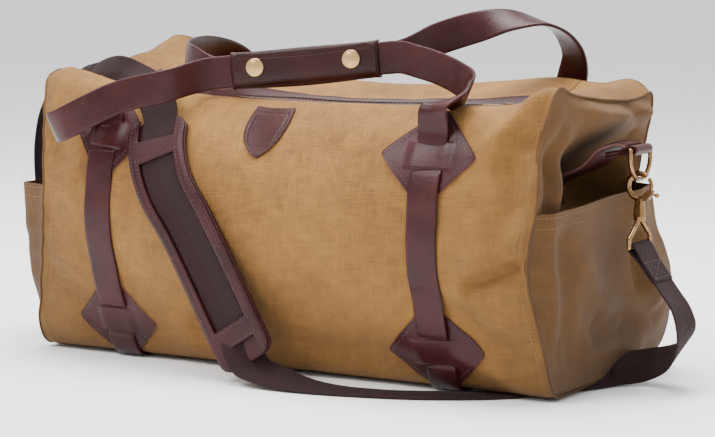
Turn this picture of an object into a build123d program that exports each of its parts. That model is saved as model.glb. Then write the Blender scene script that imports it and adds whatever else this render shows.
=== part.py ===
from build123d import *
import os
from math import atan2, cos, degrees, radians, sin

# Travel duffel of waxed canvas with leather straps, handles and shoulder strap.
# Millimetres. +X runs along the bag, +Y to its back, +Z up from the floor.
# The origin is the middle of the resting face under the bag.

# ---- driving dimensions -------------------------------------------------
bag_length = 600.0          # gusset to gusset, outside
belly_depth = 314.0         # depth at the fullest height, mid-length
belly_height = 150.0        # height of the fullest depth
belly_taper = 5.0           # half depth lost at the ends of the mouth
end_taper = 16.0            # half depth lost at the gussets
crest_height = 270.0        # top of the side panels along the mouth
horn_rise = 18.0            # the four top corners stand above the crest
valley_drop = 10.0          # the zip lies this far below the crest
mouth_length = 450.0        # length of the two opening flaps
mouth_depth = 184.0         # crest to crest, and seam to seam under the bag
canvas_t = 3.0              # waxed canvas with its lining
floor_gap = 3.5             # canvas bottom above the floor, where straps pass
sag_length = 320.0          # the bottom sags to the floor between the straps
sag_depth = 150.0
clearance = 0.3             # between neighbouring pieces

strap_w = 32.0              # leather strap
strap_t = 3.2
strap_x = 188.0             # straps either side of mid-length
leather_t = 3.0             # patches
patch_half = 53.0           # half diagonal of a square patch set on its point
bridge_h = 27.0             # leather between the two slots of a patch
bridge_side = 7.0           # the bridge reaches past the strap by this much
slot_h = 7.0
slot_exit = ((1.0, 0.3), (11.0, 1.6), (21.0, 3.4))  # rise and lift of a handle above its slot
upper_patch_z = 216.0
upper_patch_lean = 0.92     # height of the leaning patch over its own size
lower_patch_z = 50.0
lower_patch_lean = 0.86
tip_z = 14.0                # lower patches end here, under the strap

badge_t = 2.4
badge_w = 46.0
badge_h = 58.0
badge_z = 214.0             # middle of the badge

webbing_w = 38.0            # shoulder strap webbing
webbing_t = 2.2
fold_length = 40.0          # webbing doubled back at each snap hook
fold_angle = -52.0          # its slope out from the eye
pad_w = 64.0                # shoulder pad
pad_t = 8.0
pad_window_w = 42.0

pocket_height = 176.0       # slip pocket on each gusset
pocket_gap = 7.0
pocket_wall = 2.5
pocket_edge = 6.0           # pocket edge inside the gusset edge

tooth_pitch = 4.0
tooth_length = 4.6
tooth_root = 1.3
tooth_head = 1.7
tooth_t = 2.4
chain_length = 392.0
chain_half = 3.4            # tape edge from the middle of the zip
tape_w = 12.0
tape_t = 1.0
facing_w = 26.0             # leather strip along each side of the zip
facing_t = 2.0
facing_gap = 7.0            # facing edge from the middle of the zip
end_tab = (30.0, 34.0, 2.5)  # leather tab over each end of the zip
slider_size = (16.0, 12.0)
slider_plate = 1.2
slider_corner = 3.0
slider_wedge = (5.0, 3.0)   # post that parts the two rows of teeth
crown_h = 4.2               # loop on the slider that holds the pull
crown_w = 3.0
crown_half = 5.5
crown_wall = 1.4
crown_round = 2.0
pull_length = 30.0
pull_w = 9.0
pull_arm = 1.0              # half thickness of the pull
pull_rim = 2.0              # pull's frame round its opening
pull_hole = 4.0

grip_length = 150.0
grip_h = 38.0
grip_wall = 2.5
grip_corner = 3.0
core_gap = 1.0              # between the two handle straps inside the grip
grip_centre = (6.0, -70.0, 301.0)
grip_yaw = 17.5
grip_pitch = -5.5           # the right end stands higher
grip_entry = 14.0           # handle strap runs straight for this length before the grip
flap_t = 2.2
snap_d = 18.0
snap_rise = 2.6
snap_spacing = 98.0
snap_above = 2.0            # snaps above the middle of the grip
snap_round = 2.08           # rounding of the cap's rim
stud_d = 6.0
flap_corner = 12.0
flap_dip = 5.0              # the free edge of the grip's flap dips in the middle

ring_wire = 4.2
ring_half = 21.0            # half width of the D-ring at its wire centre
ring_leg = 7.0
ring_x = 335.0              # D-ring bar from mid-length
ring_z = 228.0
chape_w = 35.0
chape_t = 2.5               # one layer; the chape is doubled
chape_drop = 14.0           # it falls this far from the bar to the gusset
end_patch_w = 66.0
end_patch_z = (186.0, 244.0)
hook_wire = 5.0
hook_radius = 12.0
gate_wire = 3.6
gate_from = -28.0           # the gate closes the hook between these angles
gate_to = 48.0
nose_gap = 0.6              # hook's nose, and the gate's tip, short of the end of the gate
gate_gap = 1.6
gate_pin_r = 1.0
gate_eye_w = 2.6            # gate's boss on its pin
heel_angle = 20.0           # the gate thickens to its boss over this angle
lug_r = 3.2                 # fork of the hook either side of the boss
lug_t = 1.6
lug_angle = 28.0            # the fork runs down the hook over this angle
fork_gap = 0.2
hook_foot_angle = 22.0      # the wire ends in the fork this far below the pin
thumb_stud = (7.0, -2.0)    # reach and drop from the pin
thumb_stem_r = 1.3
thumb_ball_r = 2.3
swivel_r = 2.2
neck_top = (8.0, 6.5)
neck_foot = (11.0, 10.0)
neck_roof = 5.0             # metal above the swivel's bore
neck_h = 15.0
collar_h = 4.0
collar_r = 5.6
eye_wire = 4.2
eye_half = 22.0
eye_h = 24.0

steps_per_station = 6       # smoothness of the straps that lie free
end_pull = 0.5              # how far a strap runs straight from each of its ends

# ---- values worked out from them -----------------------------------------
half_length = bag_length / 2
half_mouth = mouth_length / 2
half_belly = belly_depth / 2
inner_x = half_length - canvas_t
seam_y = mouth_depth / 2
mid_z = crest_height / 2
top_z = crest_height + horn_rise + 10
patch_skin = (clearance, clearance + leather_t)
near = (clearance, clearance + strap_t)
far = (patch_skin[1] + clearance, patch_skin[1] + clearance + strap_t)
bridge = (near[1] + clearance, near[1] + clearance + leather_t)
hinge_y = seam_y - clearance - canvas_t / 2
hinge_z = crest_height - canvas_t / 2
valley_z = crest_height - valley_drop
zip_z = valley_z - clearance - tape_t / 2
canvas_edge = chain_half + tape_w
half_chain = chain_length / 2
slider_x = half_chain + 0.5
tab_start = slider_x + slider_size[0] / 2 + 2
ring_low = ring_z - ring_leg - ring_half
hook_z = ring_low + ring_wire / 2 + 2 * clearance - hook_radius + hook_wire / 2
neck_z = hook_z - hook_radius - hook_wire / 4
collar_z = neck_z - neck_h
eye_z = collar_z - collar_h - eye_h


# ---- helpers --------------------------------------------------------------
def box(x0, x1, y0, y1, z0, z1):
    """Block between two corners."""
    return Pos((x0 + x1) / 2, (y0 + y1) / 2, (z0 + z1) / 2) * Box(abs(x1 - x0), abs(y1 - y0), z1 - z0)


def rod(start, end, radius):
    """Round bar between two points."""
    start, end = Vector(*start), Vector(*end)
    return extrude(Plane(origin=start, z_dir=end - start) * Circle(radius), (end - start).length)


def wire_loop(points, radius):
    """Round wire through points with a ball at each bend."""
    loop = rod(points[0], points[1], radius)
    for start, end in zip(points[1:], points[2:]):
        loop += Pos(*start) * Sphere(radius) + rod(start, end, radius)
    return loop


def ribbon(stations, width, thickness):
    """Flat strap on a smooth path through stations, each a point and the direction of its width."""
    points = [Vector(*point) for point, _ in stations]
    widths = [Vector(*across) for _, across in stations]
    ends = [points[1] - points[0], points[-1] - points[-2]]
    path = Spline(*points, tangents=ends, tangent_scalars=[end_pull, end_pull])
    places = [0.0] + [path.param_at_point(point) for point in points[1:-1]] + [1.0]
    cuts = []
    for i in range(len(points) - 1):
        for step in range(steps_per_station):
            share = step / steps_per_station
            here = places[i] + (places[i + 1] - places[i]) * share
            cuts.append((here, widths[i] * (1 - share) + widths[i + 1] * share))
    cuts.append((1.0, widths[-1]))
    outlines = []
    for here, across in cuts:
        along = (path % here).normalized()
        side = (across - along * across.dot(along)).normalized()
        outlines.append(Plane(origin=path @ here, x_dir=side, z_dir=along) * Rectangle(width, thickness))
    strap = loft(outlines, ruled=True)
    return strap if strap.volume > 0 else ribbon(stations[::-1], width, thickness)


def mirror_x(shape):
    """The same piece at the other end of the bag."""
    return mirror(shape, about=Plane.YZ)


def save(name, *solids):
    """Write one sub-part of one or more solids."""
    shape = solids[0] if len(solids) == 1 else Compound(children=list(solids))
    export_step(shape, f"parts/{name}.step")


# ---- the bag's form --------------------------------------------------------
def side_curve(half, crest, grow, sign):
    """Side of a section from bottom seam to crest, moved out by grow."""
    swell = half - seam_y
    points = [
        (sign * seam_y, floor_gap - grow),
        (sign * (seam_y + 0.5 * swell + 0.9 * grow), floor_gap + 0.22 * belly_height - 0.45 * grow),
        (sign * (half + grow), belly_height),
        (sign * (seam_y + 0.68 * swell + 0.85 * grow), crest - 0.13 * crest_height + 0.5 * grow),
        (sign * seam_y, crest + grow),
    ]
    return Spline(*points, tangents=[(sign, 0), (-sign, 0)])


def section(x, half, crest, grow):
    """Closed outline across the bag at x, moved out by grow."""
    front = side_curve(half, crest, grow, -1)
    back = side_curve(half, crest, grow, 1)
    valley = ThreePointArc(front @ 1, (0, crest - valley_drop + grow), back @ 1)
    outline = make_face([front, valley, back, Line(back @ 0, front @ 0)])
    return Plane(origin=(x, 0, 0), x_dir=(0, 1, 0), z_dir=(1, 0, 0)) * outline


def bag_form(grow):
    """Solid within the bag's skin, the skin moved out by grow."""
    mouth_half = half_belly - belly_taper
    middle = section(0, half_belly, crest_height, grow)
    left, right = [section(s * half_mouth, mouth_half, crest_height, grow) for s in (-1, 1)]
    form = loft([left, middle, right])
    for sign, mouth_end in ((-1, left), (1, right)):
        gusset_end = section(sign * half_length, half_belly - end_taper, crest_height + horn_rise, grow)
        form += loft([mouth_end, gusset_end], ruled=True)
    return form


def skin(region, between):
    """Part of the bag's skin within a region, between two offsets."""
    for grow in between:
        if grow not in forms:
            forms[grow] = bag_form(grow)
    return (region & forms[between[1]]) - forms[between[0]]


def surface(x, height, grow, sign):
    """Point on one side of the bag at x and a height, moved out by grow, and the way up."""
    half = half_belly - belly_taper * (x / half_mouth) ** 2
    curve = side_curve(half, crest_height, grow, sign)
    low, high = 0.3, 1.0
    for _ in range(30):
        middle = (low + high) / 2
        low, high = (middle, high) if (curve @ middle).Y < height else (low, middle)
    point, up = curve @ low, curve % low
    return Vector(x, point.X, point.Y), Vector(0, up.X, up.Y)


forms = {0.0: bag_form(0.0), -canvas_t: bag_form(-canvas_t)}
os.makedirs("parts", exist_ok=True)

# ---- canvas shell ----------------------------------------------------------
room = forms[-canvas_t] & box(-inner_x, inner_x, -half_belly, half_belly, 0, top_z)
shell = forms[0.0] - room
sag = box(-sag_length / 2, sag_length / 2, -sag_depth / 2, sag_depth / 2, 0, floor_gap + canvas_t / 2)
save("front_panel", shell & box(-inner_x, inner_x, -half_belly - 1, -seam_y, 0, top_z))
save("back_panel", shell & box(-inner_x, inner_x, seam_y, half_belly + 1, 0, top_z))
save("bottom_panel", (shell & box(-inner_x, inner_x, -seam_y, seam_y, 0, mid_z)) + sag)


def gusset_and_pocket(sign):
    """Flat end of the bag with a slip pocket sewn over its lower part."""
    gusset = shell & box(sign * inner_x, sign * (half_length + 1), -half_belly, half_belly, 0, top_z)
    half, crest = half_belly - end_taper, crest_height + horn_rise
    outer = section(sign * half_length, half, crest, -pocket_edge)
    inner = section(sign * half_length, half, crest, -pocket_edge - pocket_wall)
    depth = pocket_gap + pocket_wall
    pocket = extrude(outer, sign * depth) - extrude(inner, sign * pocket_gap)
    pocket &= box(sign * half_length, sign * (half_length + depth), -half_belly, half_belly, 0, pocket_height)
    return gusset, pocket


top_ends = []
for side, sign in (("left", -1), ("right", 1)):
    gusset, pocket = gusset_and_pocket(sign)
    save(f"{side}_gusset", gusset)
    save(f"{side}_end_pocket", pocket)
    top_end = shell & box(sign * half_mouth, sign * inner_x, -seam_y, seam_y, mid_z, top_z)
    top_ends.append(top_end)
save("top_ends", *top_ends)

# ---- mouth flaps and zip ---------------------------------------------------
flap_x = half_mouth - clearance
facing_x = tab_start - clearance


def mouth_flap(sign):
    """Canvas from the crest to the zip, rounded at its hinge."""
    flap = shell & box(-flap_x, flap_x, sign * canvas_edge, sign * hinge_y, mid_z, top_z)
    return flap + rod((-flap_x, sign * hinge_y, hinge_z), (flap_x, sign * hinge_y, hinge_z), canvas_t / 2)


def zip_facing(sign):
    """Leather strip sewn on the flap beside the zip."""
    strip = box(-facing_x, facing_x, sign * facing_gap, sign * (facing_gap + facing_w), mid_z, top_z)
    return skin(strip, (0.0, facing_t))


def zip_tape(sign):
    """Woven tape that carries the teeth."""
    low, high = zip_z - tape_t / 2, zip_z + tape_t / 2
    return box(-facing_x, facing_x, sign * chain_half, sign * canvas_edge, low, high)


def zip_teeth(sign):
    """Row of teeth, each wider at its head, that locks between the other row's teeth."""
    outline = Polyline(
        (-tooth_root / 2, 0),
        (tooth_root / 2, 0),
        (tooth_head / 2, tooth_length),
        (-tooth_head / 2, tooth_length),
        close=True,
    )
    tooth = extrude(make_face(outline), tooth_t)
    count = int(chain_length / tooth_pitch)
    start = -half_chain + tooth_pitch * (0.75 if sign > 0 else 0.25)
    turn = 180 if sign > 0 else 0
    place = (sign * chain_half, zip_z - tooth_t / 2)
    return [Pos(start + i * tooth_pitch, *place) * Rot(0, 0, turn) * tooth for i in range(count)]


for side, sign in (("front", -1), ("back", 1)):
    save(f"{side}_mouth_flap", mouth_flap(sign))
    save(f"{side}_zip_facing", zip_facing(sign))
    save(f"{side}_zip_tape", zip_tape(sign))
    save(f"{side}_zip_teeth", *zip_teeth(sign))

tabs = []
for sign in (-1, 1):
    half_tab = end_tab[1] / 2
    tab = box(sign * tab_start, sign * (tab_start + end_tab[0]), -half_tab, half_tab, mid_z, top_z)
    tabs.append(skin(tab, (clearance, clearance + end_tab[2])))
save("zip_end_tabs", *tabs)

plate_gap = tooth_t / 2 + clearance
plate_top = zip_z + plate_gap + slider_plate
plate = extrude(RectangleRounded(*slider_size, slider_corner), slider_plate)
wedge_x = slider_x + slider_size[0] / 4
wedge = Pos(wedge_x, 0, zip_z - plate_gap) * extrude(RectangleRounded(*slider_wedge, 1), 2 * plate_gap)
crown_side = (-crown_w / 2, crown_w / 2)
crown = box(slider_x - crown_half, slider_x + crown_half, *crown_side, plate_top, plate_top + crown_h)
crown = fillet(crown.edges().filter_by(Axis.Y).group_by(Axis.Z)[-1], crown_round)
arch = (slider_x - crown_half + crown_wall, slider_x + crown_half - crown_wall)
crown -= box(*arch, *crown_side, plate_top, plate_top + crown_h - crown_wall)
slider = Pos(slider_x, 0, zip_z + plate_gap) * plate
slider += Pos(slider_x, 0, zip_z - plate_gap - slider_plate) * plate
save("zip_slider", slider + wedge + crown)

pull_z = plate_top + crown_wall
pull_bar = rod((slider_x, -pull_w / 2, pull_z), (slider_x, pull_w / 2, pull_z), pull_arm)
pull = Pos(slider_x - pull_length / 2, 0, pull_z - pull_arm) * extrude(
    RectangleRounded(pull_length, pull_w, pull_rim), 2 * pull_arm
)
opening = (pull_rim - pull_w / 2, pull_w / 2 - pull_rim)
pull -= box(slider_x - crown_half - pull_rim, slider_x + pull_length, *opening, plate_top, top_z)
pull -= Pos(slider_x - pull_length + pull_hole + 1, 0, plate_top) * extrude(
    RectangleRounded(pull_hole, pull_hole, 1), crown_h
)
save("zip_pull", pull + pull_bar)

# ---- leather straps woven through their patches ----------------------------
sides = (("left", -1), ("right", 1))
faces = (("front", -1), ("back", 1))
slot_w = strap_w + 2


def outward(x, z, sign, sketch):
    """Prism of a sketch drawn on the front or back, reaching out through the skin."""
    plane = Plane(origin=(x, sign * seam_y, z), x_dir=(1, 0, 0), z_dir=(0, sign, 0))
    return extrude(plane * sketch, half_belly)


def strap_zones():
    """Heights at which the strap lies behind a bridge, passes a slot or lies over the patch."""
    zones = [(0, tip_z - 4, near), (tip_z - 6, tip_z - 1, (near[0], far[1]))]
    low = tip_z - 3
    for z, lean in ((lower_patch_z, lower_patch_lean), (upper_patch_z, upper_patch_lean)):
        half = bridge_h * lean / 2
        zones.append((low, z - half - slot_h / 2, far))
        zones.append((z - half - slot_h + clearance, z - half - clearance, (near[0], far[1])))
        zones.append((z - half - slot_h / 2, z + half + slot_h / 2, near))
        zones.append((z + half + clearance, z + half + slot_h - clearance, (near[0], far[1])))
        low = z + half + slot_h / 2
    return zones


def strap_run(x, sign):
    """Strap from under the bag up one side to the upper slot of the upper patch."""
    run = None
    for low, high, between in strap_zones():
        region = box(x - strap_w / 2, x + strap_w / 2, sign * seam_y, sign * (half_belly + 10), low, high)
        piece = skin(region, between)
        run = piece if run is None else run + piece
    return run


def patch(x, sign, z, lean):
    """Square leather patch on its point, with two slots and a raised bridge between them."""
    half = bridge_h * lean
    diamond = scale(Rot(0, 0, 45) * Rectangle(patch_half * 2 ** 0.5, patch_half * 2 ** 0.5), (1, lean, 1))
    flat = skin(outward(x, z, sign, diamond), patch_skin)
    flat -= outward(x, z, sign, Rectangle(slot_w, half + 2 * slot_h))
    hump = skin(outward(x, z, sign, Rectangle(slot_w + 2 * bridge_side, half)), (clearance, bridge[1]))
    tunnel = skin(outward(x, z, sign, Rectangle(slot_w, half + slot_h)), (0.0, bridge[0]))
    return flat + (hump - tunnel)


patch_rows = (("upper", upper_patch_z, upper_patch_lean), ("lower", lower_patch_z, lower_patch_lean))
for face, sign in faces:
    for side, x_sign in sides:
        save(f"{face}_{side}_strap", strap_run(x_sign * strap_x, sign))
    for row, z, lean in patch_rows:
        above = box(-half_length, half_length, sign * seam_y, sign * (half_belly + 20), tip_z, top_z)
        pair = [patch(x_sign * strap_x, sign, z, lean) & above for _, x_sign in sides]
        save(f"{face}_{row}_patches", *pair)
half_strap = strap_w / 2
under_bag = [
    box(x_sign * strap_x - half_strap, x_sign * strap_x + half_strap, -seam_y, seam_y, 0, strap_t)
    for _, x_sign in sides
]
save("base_straps", *under_bag)

shield = make_face([
    Line((-badge_w / 2, badge_h / 2), (badge_w / 2, badge_h / 2)),
    ThreePointArc((badge_w / 2, badge_h / 2), (badge_w * 0.47, -badge_h * 0.08), (0, -badge_h / 2)),
    ThreePointArc((0, -badge_h / 2), (-badge_w * 0.47, -badge_h * 0.08), (-badge_w / 2, badge_h / 2)),
])
save("badge", skin(outward(0, badge_z, -1, shield), (clearance, clearance + badge_t)))

# ---- carry handles and their grip ------------------------------------------
grip = Pos(*grip_centre) * Rot(0, 0, grip_yaw) * Rot(0, grip_pitch, 0)
core_y = (strap_t + core_gap) / 2
pocket_t = 2 * strap_t + core_gap + 2 * clearance
wrap_t = pocket_t + 2 * grip_wall
upright = tuple((grip * Pos(0, 0, 1)).position - grip.position)
cores = [grip * Pos(0, s * core_y, 0) * Box(grip_length, strap_t, strap_w) for s in (-1, 1)]
save("handle_cores", *cores)

wrap = extrude(Plane.YZ * RectangleRounded(wrap_t, grip_h, grip_corner), grip_length / 2, both=True)
wrap -= Box(grip_length + 1, pocket_t, strap_w + 2 * clearance)
flap_y = wrap_t / 2 + clearance
snap_places = [(s * snap_spacing / 2, snap_above) for s in (-1, 1)]
front_face = Plane(origin=(0, -wrap_t / 2, 0), x_dir=(1, 0, 0), z_dir=(0, -1, 0))
stud_h = flap_t - clearance / 2
studs = [extrude(front_face * Pos(*place) * Circle(stud_d / 2), stud_h) for place in snap_places]
save("grip_wrap", grip * wrap)
save("snap_studs", *[grip * stud for stud in studs])

corner, half_grip, free_edge = flap_corner, grip_length / 2 - 2, grip_h / 2 - 2
fold_low = (flap_t - grip_h) / 2
flap_outline = make_face([
    Line((-half_grip, fold_low), (half_grip, fold_low)),
    Line((half_grip, fold_low), (half_grip, free_edge - corner)),
    ThreePointArc(
        (half_grip, free_edge - corner),
        (half_grip - 0.3 * corner, free_edge - 0.3 * corner),
        (half_grip - corner, free_edge),
    ),
    Spline(
        (half_grip - corner, free_edge),
        (0, free_edge - flap_dip),
        (corner - half_grip, free_edge),
        tangents=[(-1, 0), (-1, 0)],
    ),
    ThreePointArc(
        (corner - half_grip, free_edge),
        (0.3 * corner - half_grip, free_edge - 0.3 * corner),
        (-half_grip, free_edge - corner),
    ),
    Line((-half_grip, free_edge - corner), (-half_grip, fold_low)),
])
flap_face = Plane(origin=(0, -flap_y, 0), x_dir=(1, 0, 0), z_dir=(0, -1, 0))
fold_edge = (-flap_y - flap_t / 2, fold_low)
grip_flap = extrude(flap_face * flap_outline, flap_t)
grip_flap += rod((-half_grip, *fold_edge), (half_grip, *fold_edge), flap_t / 2)
caps = []
for place in snap_places:
    grip_flap -= extrude(flap_face * Pos(*place) * Circle(stud_d / 2 + 1), flap_t)
    cap = extrude(flap_face * Pos(*place) * Circle(snap_d / 2), flap_t + snap_rise) - extrude(
        flap_face * Pos(*place) * Circle(snap_d / 2 + 1), flap_t
    )
    caps.append(grip * fillet(cap.edges().group_by(Axis.Y)[0], snap_round))
save("grip_flap", grip * grip_flap)
save("snap_caps", *caps)


def grip_end(x_sign, y_sign):
    """Last two stations of a handle strap, running straight into the grip."""
    stations = []
    for ahead in (grip_entry, clearance):
        place = grip * Pos(x_sign * (grip_length / 2 + ahead), y_sign * core_y, 0)
        stations.append((tuple(place.position), upright))
    return stations


def slot_start(x, sign):
    """First stations of a handle strap, leaving the upper slot of its patch along the bag."""
    middle = (far[0] + far[1]) / 2
    low = upper_patch_z + bridge_h * upper_patch_lean / 2 + slot_h
    return [(tuple(surface(x, low + rise, middle + lift, sign)[0]), (1, 0, 0)) for rise, lift in slot_exit]


front_left_route = [
    ((-200, -134, 268), (0.9, 0.1, 0.4)),
    ((-214, -148, 276), (0.5, 0.1, 0.9)),
    ((-234, -165, 272), (0.1, -0.1, 1.0)),
    ((-249, -183, 264), (0.0, -0.2, 1.0)),
    ((-246, -197, 262), (0.1, -0.2, 1.0)),
    ((-228, -196, 265), (0.1, -0.1, 1.0)),
    ((-180, -172, 279), (0.1, -0.1, 1.0)),
    ((-122, -137, 294), (0.1, 0.0, 1.0)),
]
front_right_route = [
    ((198, -126, 272), (0.9, -0.4, 0.1)),
    ((210, -110, 286), (0.5, -0.8, 0.35)),
    ((214, -82, 299), (0.1, -0.5, 0.85)),
    ((192, -58, 308), (-0.1, -0.1, 1.0)),
    ((145, -46, 311), (-0.1, 0.0, 1.0)),
]
back_left_route = [
    ((-190, 118, 282), (0.9, 0.2, 0.1)),
    ((-198, 84, 303), (0.5, 0.8, 0.3)),
    ((-198, 36, 314), (0.2, 0.5, 0.8)),
    ((-184, -18, 314), (0.1, 0.1, 1.0)),
    ((-156, -60, 311), (0.1, 0.0, 1.0)),
    ((-118, -87, 302), (0.1, 0.0, 1.0)),
]
back_right_route = [
    ((202, 128, 284), (0.9, 0.3, 0.0)),
    ((213, 122, 316), (0.6, 0.7, 0.2)),
    ((205, 98, 345), (0.2, 0.5, 0.7)),
    ((180, 62, 358), (0.0, 0.3, 0.95)),
    ((140, 18, 350), (0.0, 0.1, 1.0)),
    ((110, -16, 332), (-0.1, 0.0, 1.0)),
]
routes = (
    ("front", "left", front_left_route),
    ("front", "right", front_right_route),
    ("back", "left", back_left_route),
    ("back", "right", back_right_route),
)
signs = {"left": -1, "right": 1, "front": -1, "back": 1}
for face, side, route in routes:
    start = slot_start(signs[side] * strap_x, signs[face])
    end = grip_end(signs[side], signs[face])
    save(f"{face}_handle_{side}", ribbon(start + route + end, strap_w, strap_t))

# ---- end patches, D-rings and snap hooks ------------------------------------
lengthwise = Plane(origin=(0, 0, 0), x_dir=(1, 0, 0), z_dir=(0, -1, 0))


def end_patch():
    """Leather patch with a point, sewn on the gusset above the pocket."""
    low, high = end_patch_z
    outline = Polyline(
        (-end_patch_w / 2, high),
        (end_patch_w / 2, high),
        (end_patch_w / 2, low + end_patch_w / 4),
        (0, low),
        (-end_patch_w / 2, low + end_patch_w / 4),
        close=True,
    )
    plane = Plane(origin=(half_length + clearance, 0, 0), x_dir=(0, 1, 0), z_dir=(1, 0, 0))
    return extrude(plane * make_face(outline), leather_t)


def looped_strap(centre, bar, thickness, width, direction, length):
    """Strap doubled round a bar, its two layers running on together."""
    roll = Circle(bar + thickness) - Circle(bar)
    tail = Rot(0, 0, direction) * Pos(length / 2, 0) * Rectangle(length, 2 * thickness)
    profile = (roll + tail) - Circle(bar)
    return Pos(centre[0], 0, centre[1]) * extrude(lengthwise * profile, width / 2, both=True)


def d_ring():
    """Bent wire ring, straight along its bar and round below."""
    leg = ring_z - ring_leg
    plane = Plane(origin=(ring_x, 0, 0), x_dir=(0, 1, 0), z_dir=(1, 0, 0))
    path = Line((-ring_half, ring_z), (-ring_half, leg)) + CenterArc((0, leg), ring_half, 180, 180)
    path += Line((ring_half, leg), (ring_half, ring_z))
    start = Plane(origin=(ring_x, -ring_half, ring_z), z_dir=(0, 0, -1))
    ring = sweep(start * Circle(ring_wire / 2), path=plane * path)
    corners = [(ring_x, s * ring_half, ring_z) for s in (-1, 1)]
    ring += rod(*corners, ring_wire / 2)
    for corner in corners:
        ring += Pos(*corner) * Sphere(ring_wire / 2)
    return ring


def on_hook(angle, radius=hook_radius):
    """Point in the plane of the hook at an angle about its centre."""
    return ring_x + radius * cos(radians(angle)), hook_z + radius * sin(radians(angle))


def hook_arc(start, size, wire):
    """Round wire bent about the middle of the hook."""
    plane = Plane(origin=(ring_x, 0, hook_z), x_dir=(1, 0, 0), z_dir=(0, -1, 0))
    arc = plane * CenterArc((0, 0), hook_radius, start, size)
    return sweep(Plane(origin=arc @ 0, z_dir=arc % 0) * Circle(wire / 2), path=arc)


pivot_x, pivot_z = on_hook(gate_from)
lug_x, lug_z = on_hook(gate_from - lug_angle)


def across_pin(x, z, radius, low, high):
    """Round boss along Y between two places."""
    return rod((x, low, z), (x, high, z), radius)


def hook_body():
    """Cast hook, open on the outer side, with a fork for its gate and a bored neck."""
    gap = degrees(nose_gap / hook_radius)
    body = hook_arc(gate_to + gap, 360 - (gate_to + gap) + gate_from - hook_foot_angle, hook_wire)
    for y in (gate_eye_w / 2 + fork_gap, -gate_eye_w / 2 - fork_gap - lug_t):
        fork = across_pin(pivot_x, pivot_z, lug_r, y, y + lug_t)
        fork += across_pin(lug_x, lug_z, lug_r, y, y + lug_t)
        span = Plane(
            origin=((pivot_x + lug_x) / 2, y + lug_t / 2, (pivot_z + lug_z) / 2),
            x_dir=(pivot_x - lug_x, 0, pivot_z - lug_z),
            z_dir=(0, 1, 0),
        )
        reach = ((pivot_x - lug_x) ** 2 + (pivot_z - lug_z) ** 2) ** 0.5
        body += fork + span * Box(reach, 2 * lug_r, lug_t)
    neck = loft([
        Pos(ring_x, 0, neck_z + 2) * RectangleRounded(*neck_top, 2),
        Pos(ring_x, 0, collar_z + clearance) * RectangleRounded(*neck_foot, 3),
    ])
    bore = rod((ring_x, 0, collar_z - 1), (ring_x, 0, collar_z + neck_h - neck_roof), swivel_r + clearance)
    body = body + neck - bore
    return body - across_pin(pivot_x, pivot_z, gate_pin_r, -2 * lug_r, 2 * lug_r)


def hook_gate():
    """Sprung gate with a thumb stud, turning on a pin in the hook's fork."""
    gap = degrees(gate_gap / hook_radius)
    gate = hook_arc(gate_from + heel_angle, gate_to - gate_from - heel_angle - gap, gate_wire)
    gate += across_pin(pivot_x, pivot_z, lug_r - 0.4, -gate_eye_w / 2, gate_eye_w / 2)
    heel = on_hook(gate_from + heel_angle + 4)
    gate += rod((pivot_x, 0, pivot_z), (heel[0], 0, heel[1]), gate_eye_w / 2)
    stud = (pivot_x + thumb_stud[0], 0, pivot_z + thumb_stud[1])
    gate += rod((pivot_x, 0, pivot_z), stud, thumb_stem_r) + Pos(*stud) * Sphere(thumb_ball_r)
    return gate - across_pin(pivot_x, pivot_z, gate_pin_r + fork_gap, -lug_r, lug_r)


def swivel_eye():
    """Collar and post in the hook's neck, with a wide loop for the webbing."""
    top = collar_z - collar_h
    eye = rod((ring_x, 0, top), (ring_x, 0, collar_z), collar_r)
    eye += rod((ring_x, 0, collar_z), (ring_x, 0, collar_z + neck_h - neck_roof - 1), swivel_r)
    shoulder = eye_z + 0.35 * eye_h
    half = [(3, top), (eye_half, shoulder), (eye_half, eye_z)]
    points = half + [(-y, z) for y, z in reversed(half)]
    return eye + wire_loop([(ring_x, y, z) for y, z in points], eye_wire / 2)


chape_reach = ring_x - half_length - clearance - leather_t
chape_angle = 180 + degrees(atan2(chape_drop, chape_reach))
chape = looped_strap(
    (ring_x, ring_z), ring_wire / 2 + clearance, chape_t, chape_w, chape_angle, chape_reach * 1.5
) & box(half_length + clearance + leather_t, ring_x + 20, -chape_w, chape_w, 0, top_z)
fold = looped_strap(
    (ring_x, eye_z), eye_wire / 2 + clearance, webbing_t, webbing_w, fold_angle, fold_length
)
gate_pin = across_pin(pivot_x, pivot_z, gate_pin_r, -gate_eye_w / 2 - lug_t, gate_eye_w / 2 + lug_t)
for name, fitting in (("end_patches", end_patch()), ("chapes", chape)):
    save(name, fitting, mirror_x(fitting))
for name, fitting in (
    ("d_ring", d_ring()),
    ("hook", hook_body()),
    ("hook_gate", hook_gate()),
    ("gate_pin", gate_pin),
    ("swivel_eye", swivel_eye()),
    ("strap_fold", fold),
):
    save(f"right_{name}", fitting)
    save(f"left_{name}", mirror_x(fitting))

# ---- shoulder strap and its pad ---------------------------------------------
pad_lift = patch_skin[1] + 3 * clearance + pad_t / 2
pad_lean = (0.87, 0.5)      # the pad's width across the bag and up its face


def pad_station(x, z):
    """Station of the pad where it lies on the upper part of the bag."""
    point, up = surface(x, z, pad_lift, -1)
    across = Vector(pad_lean[0], 0, 0) + up.normalized() * pad_lean[1]
    return tuple(point), tuple(across)


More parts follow.
